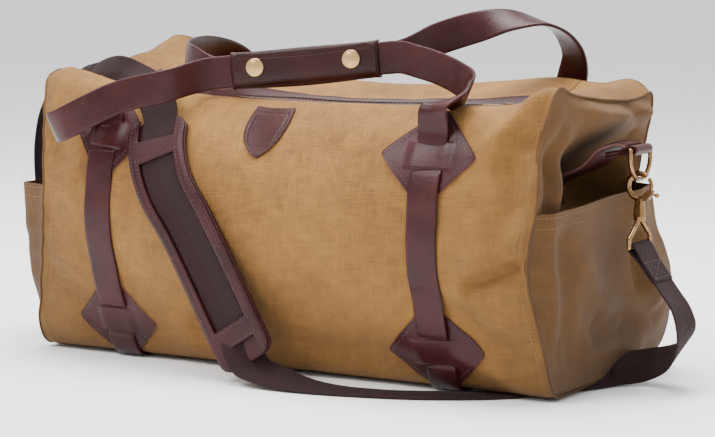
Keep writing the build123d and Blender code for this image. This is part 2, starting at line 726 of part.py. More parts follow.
pad_across = (pad_lean[0], 0.0, pad_lean[1])
pad_route = [pad_station(x, z) for x, z in ((-112, 238), (-101, 214), (-86, 184))]
lower_pad = ((-66, -165.5, 148), (-40, -169, 100), (-13, -171, 56), (9, -172, 21))
pad_route += [(point, pad_across) for point in lower_pad]
pad = ribbon(pad_route, pad_w, pad_t)
inside = ribbon(pad_route, webbing_w + 2 * clearance, webbing_t + 2 * clearance)
window_route = [((x, y - pad_t / 2, z), across) for (x, y, z), across in pad_route[1:-1]]
window = ribbon(window_route, pad_window_w - 6, pad_t)
save("shoulder_pad", pad - inside - window)
save("strap_in_pad", ribbon(pad_route, webbing_w, webbing_t))
above_pad = (Vector(*pad_route[0][0]) - Vector(*pad_route[1][0])).normalized()
below_pad = (Vector(*pad_route[-1][0]) - Vector(*pad_route[-2][0])).normalized()
fold_way = Vector(cos(radians(fold_angle)), 0, sin(radians(fold_angle)))
fold_tip = Vector(ring_x, 0, eye_z) + fold_way * (fold_length + 2 * clearance)


def beyond(point, way, distance):
    """Point further along a direction."""
    return tuple(Vector(*point) + way * distance)


level = (0.0, 1.0, 0.0)
over_route = [
    (beyond(pad_route[0][0], above_pad, clearance), pad_route[0][1]),
    (beyond(pad_route[0][0], above_pad, 10), pad_route[0][1]),
    ((-121, -128, 266.5), (0.9, 0.2, 0.3)),
    ((-127, -107, 278), (0.9, 0.4, 0.2)),
    ((-139, -82, 282), (0.8, 0.6, 0.0)),
    ((-162, -58, 280), (0.5, 0.8, -0.3)),
    ((-192, -38, 283), (0.2, 0.8, -0.5)),
    ((-225, -26, 286), (0.0, 0.75, -0.65)),
    ((-265, -20, 289), (0.0, 0.85, -0.5)),
    ((-304, -18, 291), (0.0, 1.0, -0.1)),
]
over_way = Vector(-39, 2, 2).normalized()
left_loop_route = [
    (beyond((-304, -18, 291), over_way, clearance), (0.0, 1.0, -0.1)),
    (beyond((-304, -18, 291), over_way, 10), (0.0, 1.0, -0.1)),
    ((-346, -18, 286), level),
    ((-374, -18, 258), level),
    ((-390, -17, 210), level),
    ((-395, -14, 158), level),
    ((-391, -10, 116), level),
    ((-382, -4, 94), level),
]
floor_z = (webbing_t + clearance) / 2
floor_route = [
    (beyond(pad_route[-1][0], below_pad, clearance), pad_across),
    (beyond(pad_route[-1][0], below_pad, 6), (0.62, 0.6, 0.4)),
    ((20, -173, 14.2), (0.4, 0.95, 0.34)),
    ((40, -173.8, 10.0), (0.12, 0.95, 0.32)),
    ((62, -172, 5.8), (0.05, 1.0, 0.16)),
    ((92, -167, 2.7), (-0.12, 1.0, 0.05)),
    ((135, -156, floor_z), (-0.38, 1.0, 0.0)),
    ((190, -134, floor_z), (-0.5, 1.0, 0.0)),
    ((244, -92, floor_z), (-0.7, 1.0, 0.0)),
    ((276, -38, floor_z), (-0.8, 0.9, 0.0)),
    ((300, 10, floor_z), (-0.7, 0.8, 0.0)),
]
under_way = Vector(24, 48, 0).normalized()
rise_route = [
    (beyond((300, 10, floor_z), under_way, clearance), (-0.7, 0.8, 0.0)),
    (beyond((300, 10, floor_z), under_way, 12), (-0.7, 0.8, 0.0)),
    ((326, 38, floor_z + 2), (-0.5, 1.0, 0.0)),
    ((352, 39, 12), (-0.2, 1.0, 0.0)),
    ((371, 29, 30), level),
    ((381, 9, 56), level),
    ((376, 0.5, 84), level),
]
for route, mirrored in ((left_loop_route, -1), (rise_route, 1)):
    for ahead in (12, 0):
        point = fold_tip + fold_way * ahead
        route.append(((mirrored * point.X, point.Y, point.Z), level))
for name, route in (
    ("strap_over_top", over_route),
    ("strap_left_loop", left_loop_route),
    ("strap_floor_run", floor_route),
    ("strap_right_rise", rise_route),
):
    save(name, ribbon(route, webbing_w, webbing_t))
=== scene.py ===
"""Waxed canvas travel duffel with leather straps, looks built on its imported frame.

Everything is in metres in the frame's own axes: +X along the bag, +Y to its
back, +Z up from the floor it stands on.
"""

import logging
import math
from dataclasses import dataclass, field
from enum import Enum
from typing import Optional, Sequence

import bmesh
import bpy
import numpy as np
from mathutils import Matrix, Vector


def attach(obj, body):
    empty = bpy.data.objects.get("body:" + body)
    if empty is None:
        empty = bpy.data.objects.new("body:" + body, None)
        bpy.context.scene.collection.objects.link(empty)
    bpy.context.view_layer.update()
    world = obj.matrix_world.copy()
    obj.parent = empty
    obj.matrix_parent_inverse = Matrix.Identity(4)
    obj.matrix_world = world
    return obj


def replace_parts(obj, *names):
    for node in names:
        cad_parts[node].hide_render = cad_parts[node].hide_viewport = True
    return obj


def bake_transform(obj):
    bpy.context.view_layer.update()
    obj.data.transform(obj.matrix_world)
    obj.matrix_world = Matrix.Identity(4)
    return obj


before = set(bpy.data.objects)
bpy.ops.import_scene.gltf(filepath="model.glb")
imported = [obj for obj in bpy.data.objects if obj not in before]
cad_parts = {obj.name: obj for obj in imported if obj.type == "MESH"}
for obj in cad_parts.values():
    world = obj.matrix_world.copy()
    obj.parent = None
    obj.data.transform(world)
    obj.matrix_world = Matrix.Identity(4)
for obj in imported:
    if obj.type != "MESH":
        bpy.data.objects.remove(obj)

log = logging.getLogger("duffel")
Array = np.ndarray
Point = tuple[float, float, float]
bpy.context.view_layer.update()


# ---- numbers and curves ------------------------------------------------------
def smooth(value: Array, low: float, high: float) -> Array:
    """Ease from 0 at low to 1 at high."""
    t = np.clip((np.asarray(value, float) - low) / (high - low), 0.0, 1.0)
    return t * t * (3.0 - 2.0 * t)


def hermite(t: Array, span: Array, values: tuple[Array, Array], slopes: tuple[Array, Array]) -> Array:
    """Cubic from one value to another, with a set slope at each.

    Args:
        t: Share of the way, from 0 to 1.
        span: Distance between the two values.
        values: The first and the second value.
        slopes: Slope at each of them.

    Returns:
        The cubic's values.
    """
    t2, t3 = t * t, t * t * t
    return (
        (2 * t3 - 3 * t2 + 1) * values[0]
        + (t3 - 2 * t2 + t) * span * slopes[0]
        + (3 * t2 - 2 * t3) * values[1]
        + (t3 - t2) * span * slopes[1]
    )


def bell(value: Array, middle: float, width: float) -> Array:
    """Soft bump of height 1 round a middle value."""
    return np.exp(-(((value - middle) / width) ** 2))


def table(x: Array, keys: Sequence[tuple[float, float]]) -> Array:
    """Smooth curve through a table of values.

    Args:
        x: Places to read the curve at.
        keys: Pairs of place and value, in rising order of place.

    Returns:
        The curve's values, flat beyond its ends.
    """
    places, values = np.array(keys, float).T
    slopes = np.gradient(values, places)
    x = np.clip(np.asarray(x, float), places[0], places[-1])
    i = np.clip(np.searchsorted(places, x) - 1, 0, len(keys) - 2)
    span = places[i + 1] - places[i]
    return hermite((x - places[i]) / span, span, (values[i], values[i + 1]), (slopes[i], slopes[i + 1]))


def unit(vectors: Array) -> Array:
    """Vectors scaled to length 1."""
    length = np.linalg.norm(vectors, axis=-1, keepdims=True)
    return vectors / np.maximum(length, 1e-12)


def lengths(points: Array) -> Array:
    """Distance run along a line of points, from 0 at its first."""
    steps = np.linalg.norm(np.diff(points, axis=0), axis=1)
    return np.concatenate([[0.0], np.cumsum(steps)])


def read(places: Array, run: Array, values: Array) -> Array:
    """Rows of values read at places along a run."""
    return np.stack([np.interp(places, run, column) for column in values.T], axis=1)


def resample(points: Array, count: int, *followers: Array) -> tuple[Array, ...]:
    """Even out the spacing of a line of points.

    Args:
        points: The line.
        count: How many points the new line has.
        followers: Other values held at each point, read at the same places.

    Returns:
        The new line, then each follower.
    """
    run = lengths(points)
    even = np.linspace(0.0, run[-1], count)
    return tuple(read(even, run, values) for values in (points, *followers))


def clamped_curve(points: Array, start: Array, end: Array, count: int) -> Array:
    """Cubic spline through points with a set direction at each end.

    Args:
        points: Points the curve passes through.
        start: Direction in which it leaves the first point.
        end: Direction in which it reaches the last point.
        count: How many even steps it is read at.

    Returns:
        Points along the curve, evenly spaced.
    """
    run = lengths(points)
    n = len(points)
    system = np.zeros((n, n))
    right = np.zeros_like(points)
    system[0, 0] = system[-1, -1] = 1.0
    right[0], right[-1] = unit(start), unit(end)
    for i in range(1, n - 1):
        before, after = run[i] - run[i - 1], run[i + 1] - run[i]
        system[i, i - 1 : i + 2] = (1 / before, 2 / before + 2 / after, 1 / after)
        right[i] = 3 * ((points[i] - points[i - 1]) / before**2 + (points[i + 1] - points[i]) / after**2)
    slopes = np.linalg.solve(system, right)
    fine = np.linspace(0.0, run[-1], 12 * n)
    i = np.clip(np.searchsorted(run, fine) - 1, 0, n - 2)
    span = (run[i + 1] - run[i])[:, None]
    t = (fine[:, None] - run[i][:, None]) / span
    line = hermite(t, span, (points[i], points[i + 1]), (slopes[i], slopes[i + 1]))
    return resample(line, count)[0]


def through(points: Array, per_span: int, *followers: Array) -> tuple[Array, ...]:
    """Smooth line through points, with values that follow them.

    Args:
        points: Points the line passes through.
        per_span: Steps between two points.
        followers: Values at each point, eased along with the line.

    Returns:
        The line, then each follower.
    """
    run = lengths(points)
    fine = np.linspace(0.0, run[-1], per_span * (len(points) - 1) + 1)
    out = []
    for values in (points, *followers):
        columns = [table(fine, list(zip(run, values[:, k]))) for k in range(values.shape[1])]
        out.append(np.stack(columns, axis=1))
    return tuple(out)


# ---- meshes --------------------------------------------------------------------
def make_object(name: str, mesh: bpy.types.Mesh) -> bpy.types.Object:
    """Object at the origin that shows a mesh."""
    piece = bpy.data.objects.new(name, mesh)
    bpy.context.scene.collection.objects.link(piece)
    return piece


def make_mesh(
    name: str, points: Array, faces: Sequence[Sequence[int]], uv: Optional[Array] = None
) -> bpy.types.Mesh:
    """Smooth-shaded mesh from points and faces.

    Args:
        name: Name of the mesh.
        points: One row for each vertex.
        faces: Vertex numbers of each face, counterclockwise from outside.
        uv: One row of texture coordinates for each vertex.

    Returns:
        The mesh, with a UV map named flat where uv is given.
    """
    mesh = bpy.data.meshes.new(name)
    mesh.from_pydata(np.asarray(points, float).tolist(), [], [list(map(int, f)) for f in faces])
    mesh.update()
    if uv is not None:
        layer = mesh.uv_layers.new(name="flat")
        corner = np.empty(len(mesh.loops), np.int32)
        mesh.loops.foreach_get("vertex_index", corner)
        layer.data.foreach_set("uv", np.asarray(uv, np.float32)[corner].ravel())
    mesh.polygons.foreach_set("use_smooth", np.ones(len(mesh.polygons), bool))
    mesh.update()
    return mesh


def grid_faces(rows: int, columns: int, closed: bool = False, first: int = 0) -> list[tuple[int, ...]]:
    """Quads over a grid of vertices.

    Args:
        rows: Number of rows of vertices.
        columns: Vertices in a row.
        closed: Whether each row joins up into a ring.
        first: Number of the grid's first vertex.

    Returns:
        The quads.
    """
    faces = []
    wrap = columns if closed else columns - 1
    for r in range(rows - 1):
        for c in range(wrap):
            d = (c + 1) % columns
            a = first + r * columns
            b = a + columns
            faces.append((a + c, a + d, b + d, b + c))
    return faces


def flipped(faces: Sequence[Sequence[int]]) -> list[tuple[int, ...]]:
    """Faces turned to look the other way."""
    return [tuple(reversed(face)) for face in faces]


@dataclass
class Sheet:
    """Grid of points over a piece of cloth or leather, read in its flat measure."""

    points: Array
    across: Array
    along: Array
    outside: float = 1.0
    normals: Array = field(init=False)

    def __post_init__(self) -> None:
        """Work out the outward direction at each point."""
        self.refresh()

    def refresh(self) -> None:
        """Outward directions from the grid as it now lies."""
        du = np.gradient(self.points, axis=0)
        dv = np.gradient(self.points, axis=1)
        self.normals = unit(np.cross(du, dv)) * self.outside

    def push(self, height: Array) -> None:
        """Move each point outwards by its own height."""
        self.points = self.points + self.normals * height[..., None]
        self.refresh()

    def at(self, u: Array, v: Array) -> tuple[Array, Array]:
        """Points and outward directions at places given in the flat measure.

        Args:
            u: Places across the sheet.
            v: Places along the sheet.

        Returns:
            Points, and directions of length 1.
        """
        u = np.atleast_1d(np.asarray(u, float))
        v = np.atleast_1d(np.asarray(v, float))
        i = np.clip(np.searchsorted(self.across, u) - 1, 0, len(self.across) - 2)
        j = np.clip(np.searchsorted(self.along, v) - 1, 0, len(self.along) - 2)
        s = ((u - self.across[i]) / (self.across[i + 1] - self.across[i]))[:, None]
        t = ((v - self.along[j]) / (self.along[j + 1] - self.along[j]))[:, None]
        found = []
        for grid in (self.points, self.normals):
            found.append(
                (1 - s) * (1 - t) * grid[i, j]
                + s * (1 - t) * grid[i + 1, j]
                + (1 - s) * t * grid[i, j + 1]
                + s * t * grid[i + 1, j + 1]
            )
        return found[0], unit(found[1])

    def height_place(self, u: float, height: float) -> float:
        """Place along the sheet at which it reaches a height above the floor."""
        i = int(np.clip(np.searchsorted(self.across, u), 0, len(self.across) - 1))
        rising = np.maximum.accumulate(self.points[i, :, 2])
        return float(np.interp(height, rising, self.along))

    def build(self, name: str, thickness: float) -> bpy.types.Object:
        """Closed mesh of the sheet with its wall.

        Args:
            name: Name of the piece.
            thickness: Wall, measured inwards.

        Returns:
            The object.
        """
        rows, columns = self.points.shape[:2]
        count = rows * columns
        inner = self.points - self.normals * thickness
        points = np.concatenate([self.points.reshape(-1, 3), inner.reshape(-1, 3)])
        outer_faces = grid_faces(rows, columns)
        inner_faces = flipped(grid_faces(rows, columns, first=count))
        rim = [(r, 0) for r in range(rows)] + [(rows - 1, c) for c in range(1, columns)]
        rim += [(r, columns - 1) for r in range(rows - 2, -1, -1)]
        rim += [(0, c) for c in range(columns - 2, 0, -1)]
        ring = [r * columns + c for r, c in rim]
        wall = [(b, a, a + count, b + count) for a, b in zip(ring, ring[1:] + ring[:1])]
        faces = outer_faces + inner_faces + wall
        if self.outside > 0:
            faces = flipped(faces)
        u, v = np.meshgrid(self.across, self.along, indexing="ij")
        uv = np.stack([u, v], axis=-1).reshape(-1, 2)
        mesh = make_mesh(name, points, faces, np.concatenate([uv, uv]))
        return make_object(name, mesh)


@dataclass
class Ribbon:
    """Flat strap that follows a line, with softly rounded edges."""

    name: str
    centres: Array
    sides: Array
    width: float
    thickness: float
    crown: float = 0.12
    outside: Array = field(init=False)

    CROSS = (-1.0, -0.985, -0.94, -0.8, -0.4, 0.0, 0.4, 0.8, 0.94, 0.985, 1.0)
    DEEP = (0.0, 0.62, 0.92, 1.0, 1.0, 1.0, 1.0, 1.0, 0.92, 0.62, 0.0)

    def __post_init__(self) -> None:
        """Square the sides to the line and work out the outer face's direction."""
        way = unit(np.gradient(self.centres, axis=0))
        self.sides = unit(self.sides - way * np.sum(self.sides * way, axis=1, keepdims=True))
        self.outside = np.cross(self.sides, way)

    def build(self) -> bpy.types.Object:
        """Closed mesh of the strap, with its flat measure as a UV map."""
        x = np.array(self.CROSS + self.CROSS[-2:0:-1]) * self.width / 2
        shape = np.array(self.DEEP + tuple(-d for d in self.DEEP[-2:0:-1])) * self.thickness / 2
        bulge = 1.0 + self.crown * (1.0 - (2 * x / self.width) ** 2)
        shape = shape * bulge
        rings = (
            self.centres[:, None, :]
            + self.sides[:, None, :] * x[None, :, None]
            + self.outside[:, None, :] * shape[None, :, None]
        )
        rows, columns = rings.shape[:2]
        faces = grid_faces(rows, columns, closed=True)
        last = (rows - 1) * columns
        for k in range(len(self.CROSS) - 1):
            quad = tuple(dict.fromkeys((k, k + 1, columns - k - 1, (columns - k) % columns)))
            faces += [quad, tuple(last + q for q in reversed(quad))]
        uv = np.stack(np.broadcast_arrays(x, lengths(self.centres)[:, None]), axis=-1)
        mesh = make_mesh(self.name, rings.reshape(-1, 3), faces, uv.reshape(-1, 2))
        return make_object(self.name, tidy_normals(mesh))


def tidy_normals(mesh: bpy.types.Mesh) -> bpy.types.Mesh:
    """Turn every face of a closed mesh outwards."""
    work = bmesh.new()
    work.from_mesh(mesh)
    bmesh.ops.recalc_face_normals(work, faces=work.faces)
    work.to_mesh(mesh)
    work.free()
    return mesh


# ---- finishes --------------------------------------------------------------------
class Slot(Enum):
    """Material slots of the part's record."""

    CANVAS = "canvas"
    TRIM = "leather_trim"
    BADGE = "badge_leather"
    HANDLE = "handle_leather"
    TAPE = "tape"
    WEBBING = "webbing"
    ZIP = "zip_brass"
    FITTING = "fitting_brass"


Colour = tuple[float, float, float]


def rgba(colour: Colour) -> tuple[float, float, float, float]:
    """Colour with full opacity."""
    return (*colour, 1.0)


@dataclass
class Graph:
    """Node tree of one material, written a line at a time."""

    name: str
    material: bpy.types.Material = field(init=False)

    def __post_init__(self) -> None:
        """Start an empty material with its output and main shader."""
        self.material = bpy.data.materials.new(self.name)
        self.material.use_nodes = True
        self.nodes = self.material.node_tree.nodes
        self.links = self.material.node_tree.links
        self.shader = self.nodes["Principled BSDF"]

    def add(self, kind: str, settings: Optional[dict] = None, **inputs: object) -> bpy.types.Node:
        """Node with its settings and inputs.

        Args:
            kind: Blender's name for the node's type.
            settings: Properties of the node.
            inputs: Values or sockets for its inputs, by name, with _ for a space.

        Returns:
            The node.
        """
        node = self.nodes.new(kind)
        for key, value in (settings or {}).items():
            setattr(node, key, value)
        for key, value in inputs.items():
            self.feed(node.inputs[key.replace("_", " ")], value)
        return node

    def feed(self, socket: bpy.types.NodeSocket, value: object) -> None:
        """Link a socket to an input, or set its value."""
        if isinstance(value, bpy.types.NodeSocket):
            self.links.new(value, socket)
        else:
            socket.default_value = value

    def place(self, scale: Point = (1.0, 1.0, 1.0), flat: bool = False) -> bpy.types.NodeSocket:
        """Coordinates of the piece, or of its flat measure, scaled."""
        source = self.add("ShaderNodeTexCoord").outputs["UV" if flat else "Object"]
        return self.add("ShaderNodeMapping", Vector=source, Scale=scale).outputs["Vector"]

    def noise(
        self, place: bpy.types.NodeSocket, scale: float, detail: float = 3.0, rough: float = 0.5
    ) -> bpy.types.NodeSocket:
        """Soft random pattern from 0 to 1."""
        node = self.add("ShaderNodeTexNoise", Vector=place, Scale=scale, Detail=detail, Roughness=rough)
        return node.outputs["Fac"]

    def math(self, operation: str, *values: object) -> bpy.types.NodeSocket:
        """One step of arithmetic."""
        node = self.add("ShaderNodeMath", {"operation": operation})
        for socket, value in zip(node.inputs, values):
            self.feed(socket, value)
        return node.outputs[0]

    def spread(
        self, value: object, low: float, high: float, to_low: float = 0.0, to_high: float = 1.0
    ) -> bpy.types.NodeSocket:
        """Map a range of values onto another, held at its ends."""
        node = self.add("ShaderNodeMapRange", Value=value)
        for key, number in zip(("From Min", "From Max", "To Min", "To Max"), (low, high, to_low, to_high)):
            node.inputs[key].default_value = number
        return node.outputs["Result"]

    def blend(self, share: object, first: object, second: object, mode: str = "MIX") -> bpy.types.NodeSocket:
        """Mix two colours."""
        node = self.add("ShaderNodeMix", {"data_type": "RGBA", "blend_type": mode})
        for socket, value in ((node.inputs[0], share), (node.inputs[6], first), (node.inputs[7], second)):
            self.feed(socket, rgba(value) if isinstance(value, tuple) else value)
        return node.outputs[2]

    def bump(self, height: bpy.types.NodeSocket, depth: float, strength: float = 1.0) -> None:
        """Raise the surface by a pattern, over any bump it already has."""
        node = self.add("ShaderNodeBump", Height=height, Distance=depth, Strength=strength)
        normal = self.shader.inputs["Normal"]
        if normal.is_linked:
            self.feed(node.inputs["Normal"], normal.links[0].from_socket)
        self.feed(normal, node.outputs["Normal"])

    def finish(self, colour: object, roughness: object, **constants: float) -> bpy.types.Material:
        """Join colour and roughness to the shader and set its plain values."""
        self.feed(self.shader.inputs["Base Color"], rgba(colour) if isinstance(colour, tuple) else colour)
        self.feed(self.shader.inputs["Roughness"], roughness)
        for key, value in constants.items():
            self.shader.inputs[key.replace("_", " ")].default_value = value
        return self.material


@dataclass(frozen=True)
class WaxedCanvas:
    """Heavy cotton duck rubbed with wax, with painted shade darker towards the bottom and towards the bag's ends,
    and a painted light near the top.
    """

    name: str
    light: Colour = (0.310, 0.152, 0.038)
    dark: Colour = (0.128, 0.055, 0.012)
    thread: float = 0.0011
    # low_shade and end_shade are painted shade: the colour is multiplied darker towards the floor and towards the
    # bag's ends.
    low_shade: float = 0.72
    end_shade: float = 0.72

    def make(self) -> bpy.types.Material:
        """Build the material."""
        g = Graph(self.name)
        flat, body = g.place(flat=True), g.place()
        cloud = g.noise(body, 7.0, 4.0, 0.6)
        mottle = g.noise(body, 70.0, 5.0, 0.65)
        weft = g.noise(g.place((40.0, 900.0, 1.0), flat=True), 1.0, 2.0)
        warp = g.noise(g.place((900.0, 40.0, 1.0), flat=True), 1.0, 2.0)
        slub = g.math("ADD", weft, warp)
        parts = g.add("ShaderNodeSeparateXYZ", Vector=flat)
        turn = math.pi / self.thread
        rib_u = g.math("SINE", g.math("MULTIPLY", parts.outputs["X"], turn))
        rib_v = g.math("SINE", g.math("MULTIPLY", parts.outputs["Y"], turn))
        weave = g.math("MULTIPLY", rib_u, rib_v)
        tone = g.math("ADD", g.spread(cloud, 0.3, 0.7, 0.0, 0.55), g.spread(mottle, 0.3, 0.7, 0.0, 0.42))
        tone = g.math("ADD", tone, g.spread(slub, 0.8, 1.2, -0.16, 0.20))
        place = g.add("ShaderNodeSeparateXYZ", Vector=body)
        # Painted light and shade by height: darker low down, lifted a little above the base colour near the top
        # (1.10).
        shade = g.spread(place.outputs["Z"], 0.0, 0.27, self.low_shade, 1.10)
        far = g.math("ABSOLUTE", place.outputs["X"])
        # Painted shade towards the ends of the bag, past 0.17 m from its middle.
        shade = g.math("MULTIPLY", shade, g.spread(far, 0.17, 0.29, 1.0, self.end_shade))
        colour = g.blend(g.spread(tone, 0.0, 1.0), self.dark, self.light)
        # The painted light and shade is multiplied into the colour as a grey.
        grey = g.add("ShaderNodeCombineColor", Red=shade, Green=shade, Blue=shade).outputs[0]
        colour = g.blend(1.0, colour, grey, "MULTIPLY")
        g.bump(g.noise(body, 26.0, 3.0, 0.5), 0.004, 0.35)
        g.bump(slub, 0.0004, 0.4)
        g.bump(weave, 0.00035, 0.6)
        rough = g.spread(mottle, 0.3, 0.7, 0.62, 0.8)
        return g.finish(colour, rough, Sheen_Weight=0.04, Sheen_Roughness=0.5, Specular_IOR_Level=0.2)


@dataclass(frozen=True)
class BridleLeather:
    """Oiled leather with a fine grain, faint scuffs and pull marks."""

    name: str
    deep: Colour = (0.016, 0.0026, 0.0030)
    bright: Colour = (0.050, 0.0088, 0.0104)
    gloss: float = 0.33
    grain: float = 900.0

    def make(self) -> bpy.types.Material:
        """Build the material."""
        g = Graph(self.name)
        body = g.place()
        cloud = g.noise(body, 24.0, 4.0, 0.55)
        fine = g.noise(body, 420.0, 3.0, 0.6)
        cells = g.add("ShaderNodeTexVoronoi", {"feature": "F1"}, Vector=body, Scale=self.grain)
        cells = cells.outputs["Distance"]
        scuffs = g.noise(g.place((30.0, 260.0, 60.0)), 1.0, 4.0, 0.7)
        tone = g.math("ADD", g.spread(cloud, 0.3, 0.7, 0.0, 0.7), g.spread(fine, 0.3, 0.7, 0.0, 0.3))
        colour = g.blend(g.spread(tone, 0.0, 1.0), self.deep, self.bright)
        worn = g.spread(scuffs, 0.62, 0.75, 0.0, 0.35)
        colour = g.blend(worn, colour, tuple(min(1.0, 1.9 * c + 0.01) for c in self.bright))
        rough = g.spread(cloud, 0.3, 0.7, self.gloss - 0.07, self.gloss + 0.09)
        rough = g.math("ADD", rough, g.math("MULTIPLY", worn, 0.3))
        g.bump(g.noise(body, 60.0, 3.0, 0.5), 0.0016, 0.3)
        g.bump(cells, 0.0004, 0.35)
        g.bump(scuffs, 0.0004, 0.25)
        return g.finish(colour, rough, Specular_IOR_Level=0.20, Coat_Weight=0.03, Coat_Roughness=0.22)


@dataclass(frozen=True)
class Herringbone:
    """Cotton webbing woven in a herringbone."""

    name: str
    light: Colour = (0.036, 0.0150, 0.0165)
    dark: Colour = (0.008, 0.0032, 0.0038)
    rib: float = 0.0026
    lane: float = 0.076

    def make(self) -> bpy.types.Material:
        """Build the material."""
        g = Graph(self.name)
        parts = g.add("ShaderNodeSeparateXYZ", Vector=g.place(flat=True))
        zig = g.math("PINGPONG", parts.outputs["X"], self.lane / 2)
        phase = g.math("ADD", parts.outputs["Y"], zig)
        ribs = g.math("SINE", g.math("MULTIPLY", phase, 2.0 * math.pi / self.rib))
        fuzz = g.noise(g.place(), 900.0, 3.0, 0.6)
        tone = g.math("ADD", g.spread(ribs, -1.0, 1.0, 0.0, 0.6), g.spread(fuzz, 0.3, 0.7, 0.0, 0.5))
        colour = g.blend(g.spread(tone, 0.0, 1.0), self.dark, self.light)
        g.bump(ribs, 0.0006, 0.8)
        g.bump(fuzz, 0.0003, 0.5)
        rough = g.spread(fuzz, 0.2, 0.8, 0.7, 0.9)
        return g.finish(colour, rough, Sheen_Weight=0.03, Sheen_Roughness=0.4, Specular_IOR_Level=0.15)


@dataclass(frozen=True)
class Brass:
    """Cast or rolled brass, with tarnish in its hollows and fine scratches."""

    name: str
    bright: Colour = (0.50, 0.30, 0.13)
    tarnish: Colour = (0.13, 0.065, 0.03)
    tarnished: float = 0.5
    roughness: float = 0.24

    def make(self) -> bpy.types.Material:
        """Build the material."""
        g = Graph(self.name)
        body = g.place()
        patches = g.noise(body, 160.0, 4.0, 0.6)
        fine = g.noise(body, 1500.0, 3.0, 0.6)
        scratches = g.noise(g.place((180.0, 2600.0, 700.0)), 1.0, 3.0)
        share = g.spread(patches, 0.35, 0.7, 0.0, self.tarnished)
        colour = g.blend(share, self.bright, self.tarnish)
        rough = g.spread(patches, 0.3, 0.7, self.roughness - 0.04, self.roughness + 0.14)
        rough = g.math("ADD", rough, g.spread(fine, 0.3, 0.7, 0.0, 0.06))
        g.bump(scratches, 0.0002, 0.25)
        g.bump(patches, 0.0004, 0.2)
        return g.finish(colour, rough, Metallic=1.0)


@dataclass(frozen=True)
class WaxedThread:
    """Twisted thread of the stitching."""

    name: str
    colour: Colour = (0.036, 0.011, 0.011)

    def make(self) -> bpy.types.Material:
        """Build the material."""
        g = Graph(self.name)
        twist = g.noise(g.place(), 1600.0, 2.0, 0.5)
        tone = g.blend(g.spread(twist, 0.3, 0.7), tuple(0.55 * c for c in self.colour), self.colour)
        g.bump(twist, 0.0002, 0.5)
        return g.finish(tone, 0.62, Sheen_Weight=0.2)


class Finishes:
    """The bag's materials, each made once."""

    def __init__(self) -> None:
        """Make every material."""
        self.canvas = WaxedCanvas("waxed_canvas").make()
        # Darker copy of the same waxed canvas for the end panels and pockets: painted shade, as the ends turn away
        # from the lamps.
        self.canvas_end = WaxedCanvas(
            "waxed_canvas_ends", (0.172, 0.082, 0.022), (0.078, 0.033, 0.0085)
        ).make()
        self.lining = WaxedCanvas("canvas_seams", (0.17, 0.078, 0.022), (0.075, 0.030, 0.008)).make()
        self.trim = BridleLeather("bridle_leather").make()
        self.edge = BridleLeather("cut_leather_edge", (0.07, 0.026, 0.024), (0.17, 0.075, 0.068), 0.5).make()
        self.badge = BridleLeather(
            "badge_leather", (0.018, 0.0024, 0.0026), (0.045, 0.0062, 0.0066), 0.4
        ).make()
        self.grip = BridleLeather(
            "grip_leather", (0.012, 0.0023, 0.0022), (0.034, 0.0064, 0.0060), 0.33
        ).make()
        self.pad = BridleLeather("pad_leather", (0.015, 0.0028, 0.0033), (0.044, 0.0088, 0.0100), 0.42).make()
        self.webbing = Herringbone("herringbone_webbing").make()
        self.tape = Herringbone("zip_tape", rib=0.0009, lane=0.0030).make()
        self.cap = Brass("satin_brass", bright=(0.56, 0.36, 0.16), tarnished=0.2, roughness=0.26).make()
        self.fitting = Brass(
            "antique_brass", bright=(0.34, 0.195, 0.080), tarnished=0.9, roughness=0.20
        ).make()
        self.zip = Brass("zip_brass", bright=(0.62, 0.44, 0.20), tarnished=0.25, roughness=0.22).make()
        self.thread = WaxedThread("brown_thread").make()
        self.canvas_thread = WaxedThread("canvas_thread", colour=(0.22, 0.12, 0.045)).make()


def dress(piece: bpy.types.Object, material: bpy.types.Material) -> bpy.types.Object:
    """Give a piece its material."""
    piece.data.materials.clear()
    piece.data.materials.append(material)
    return piece


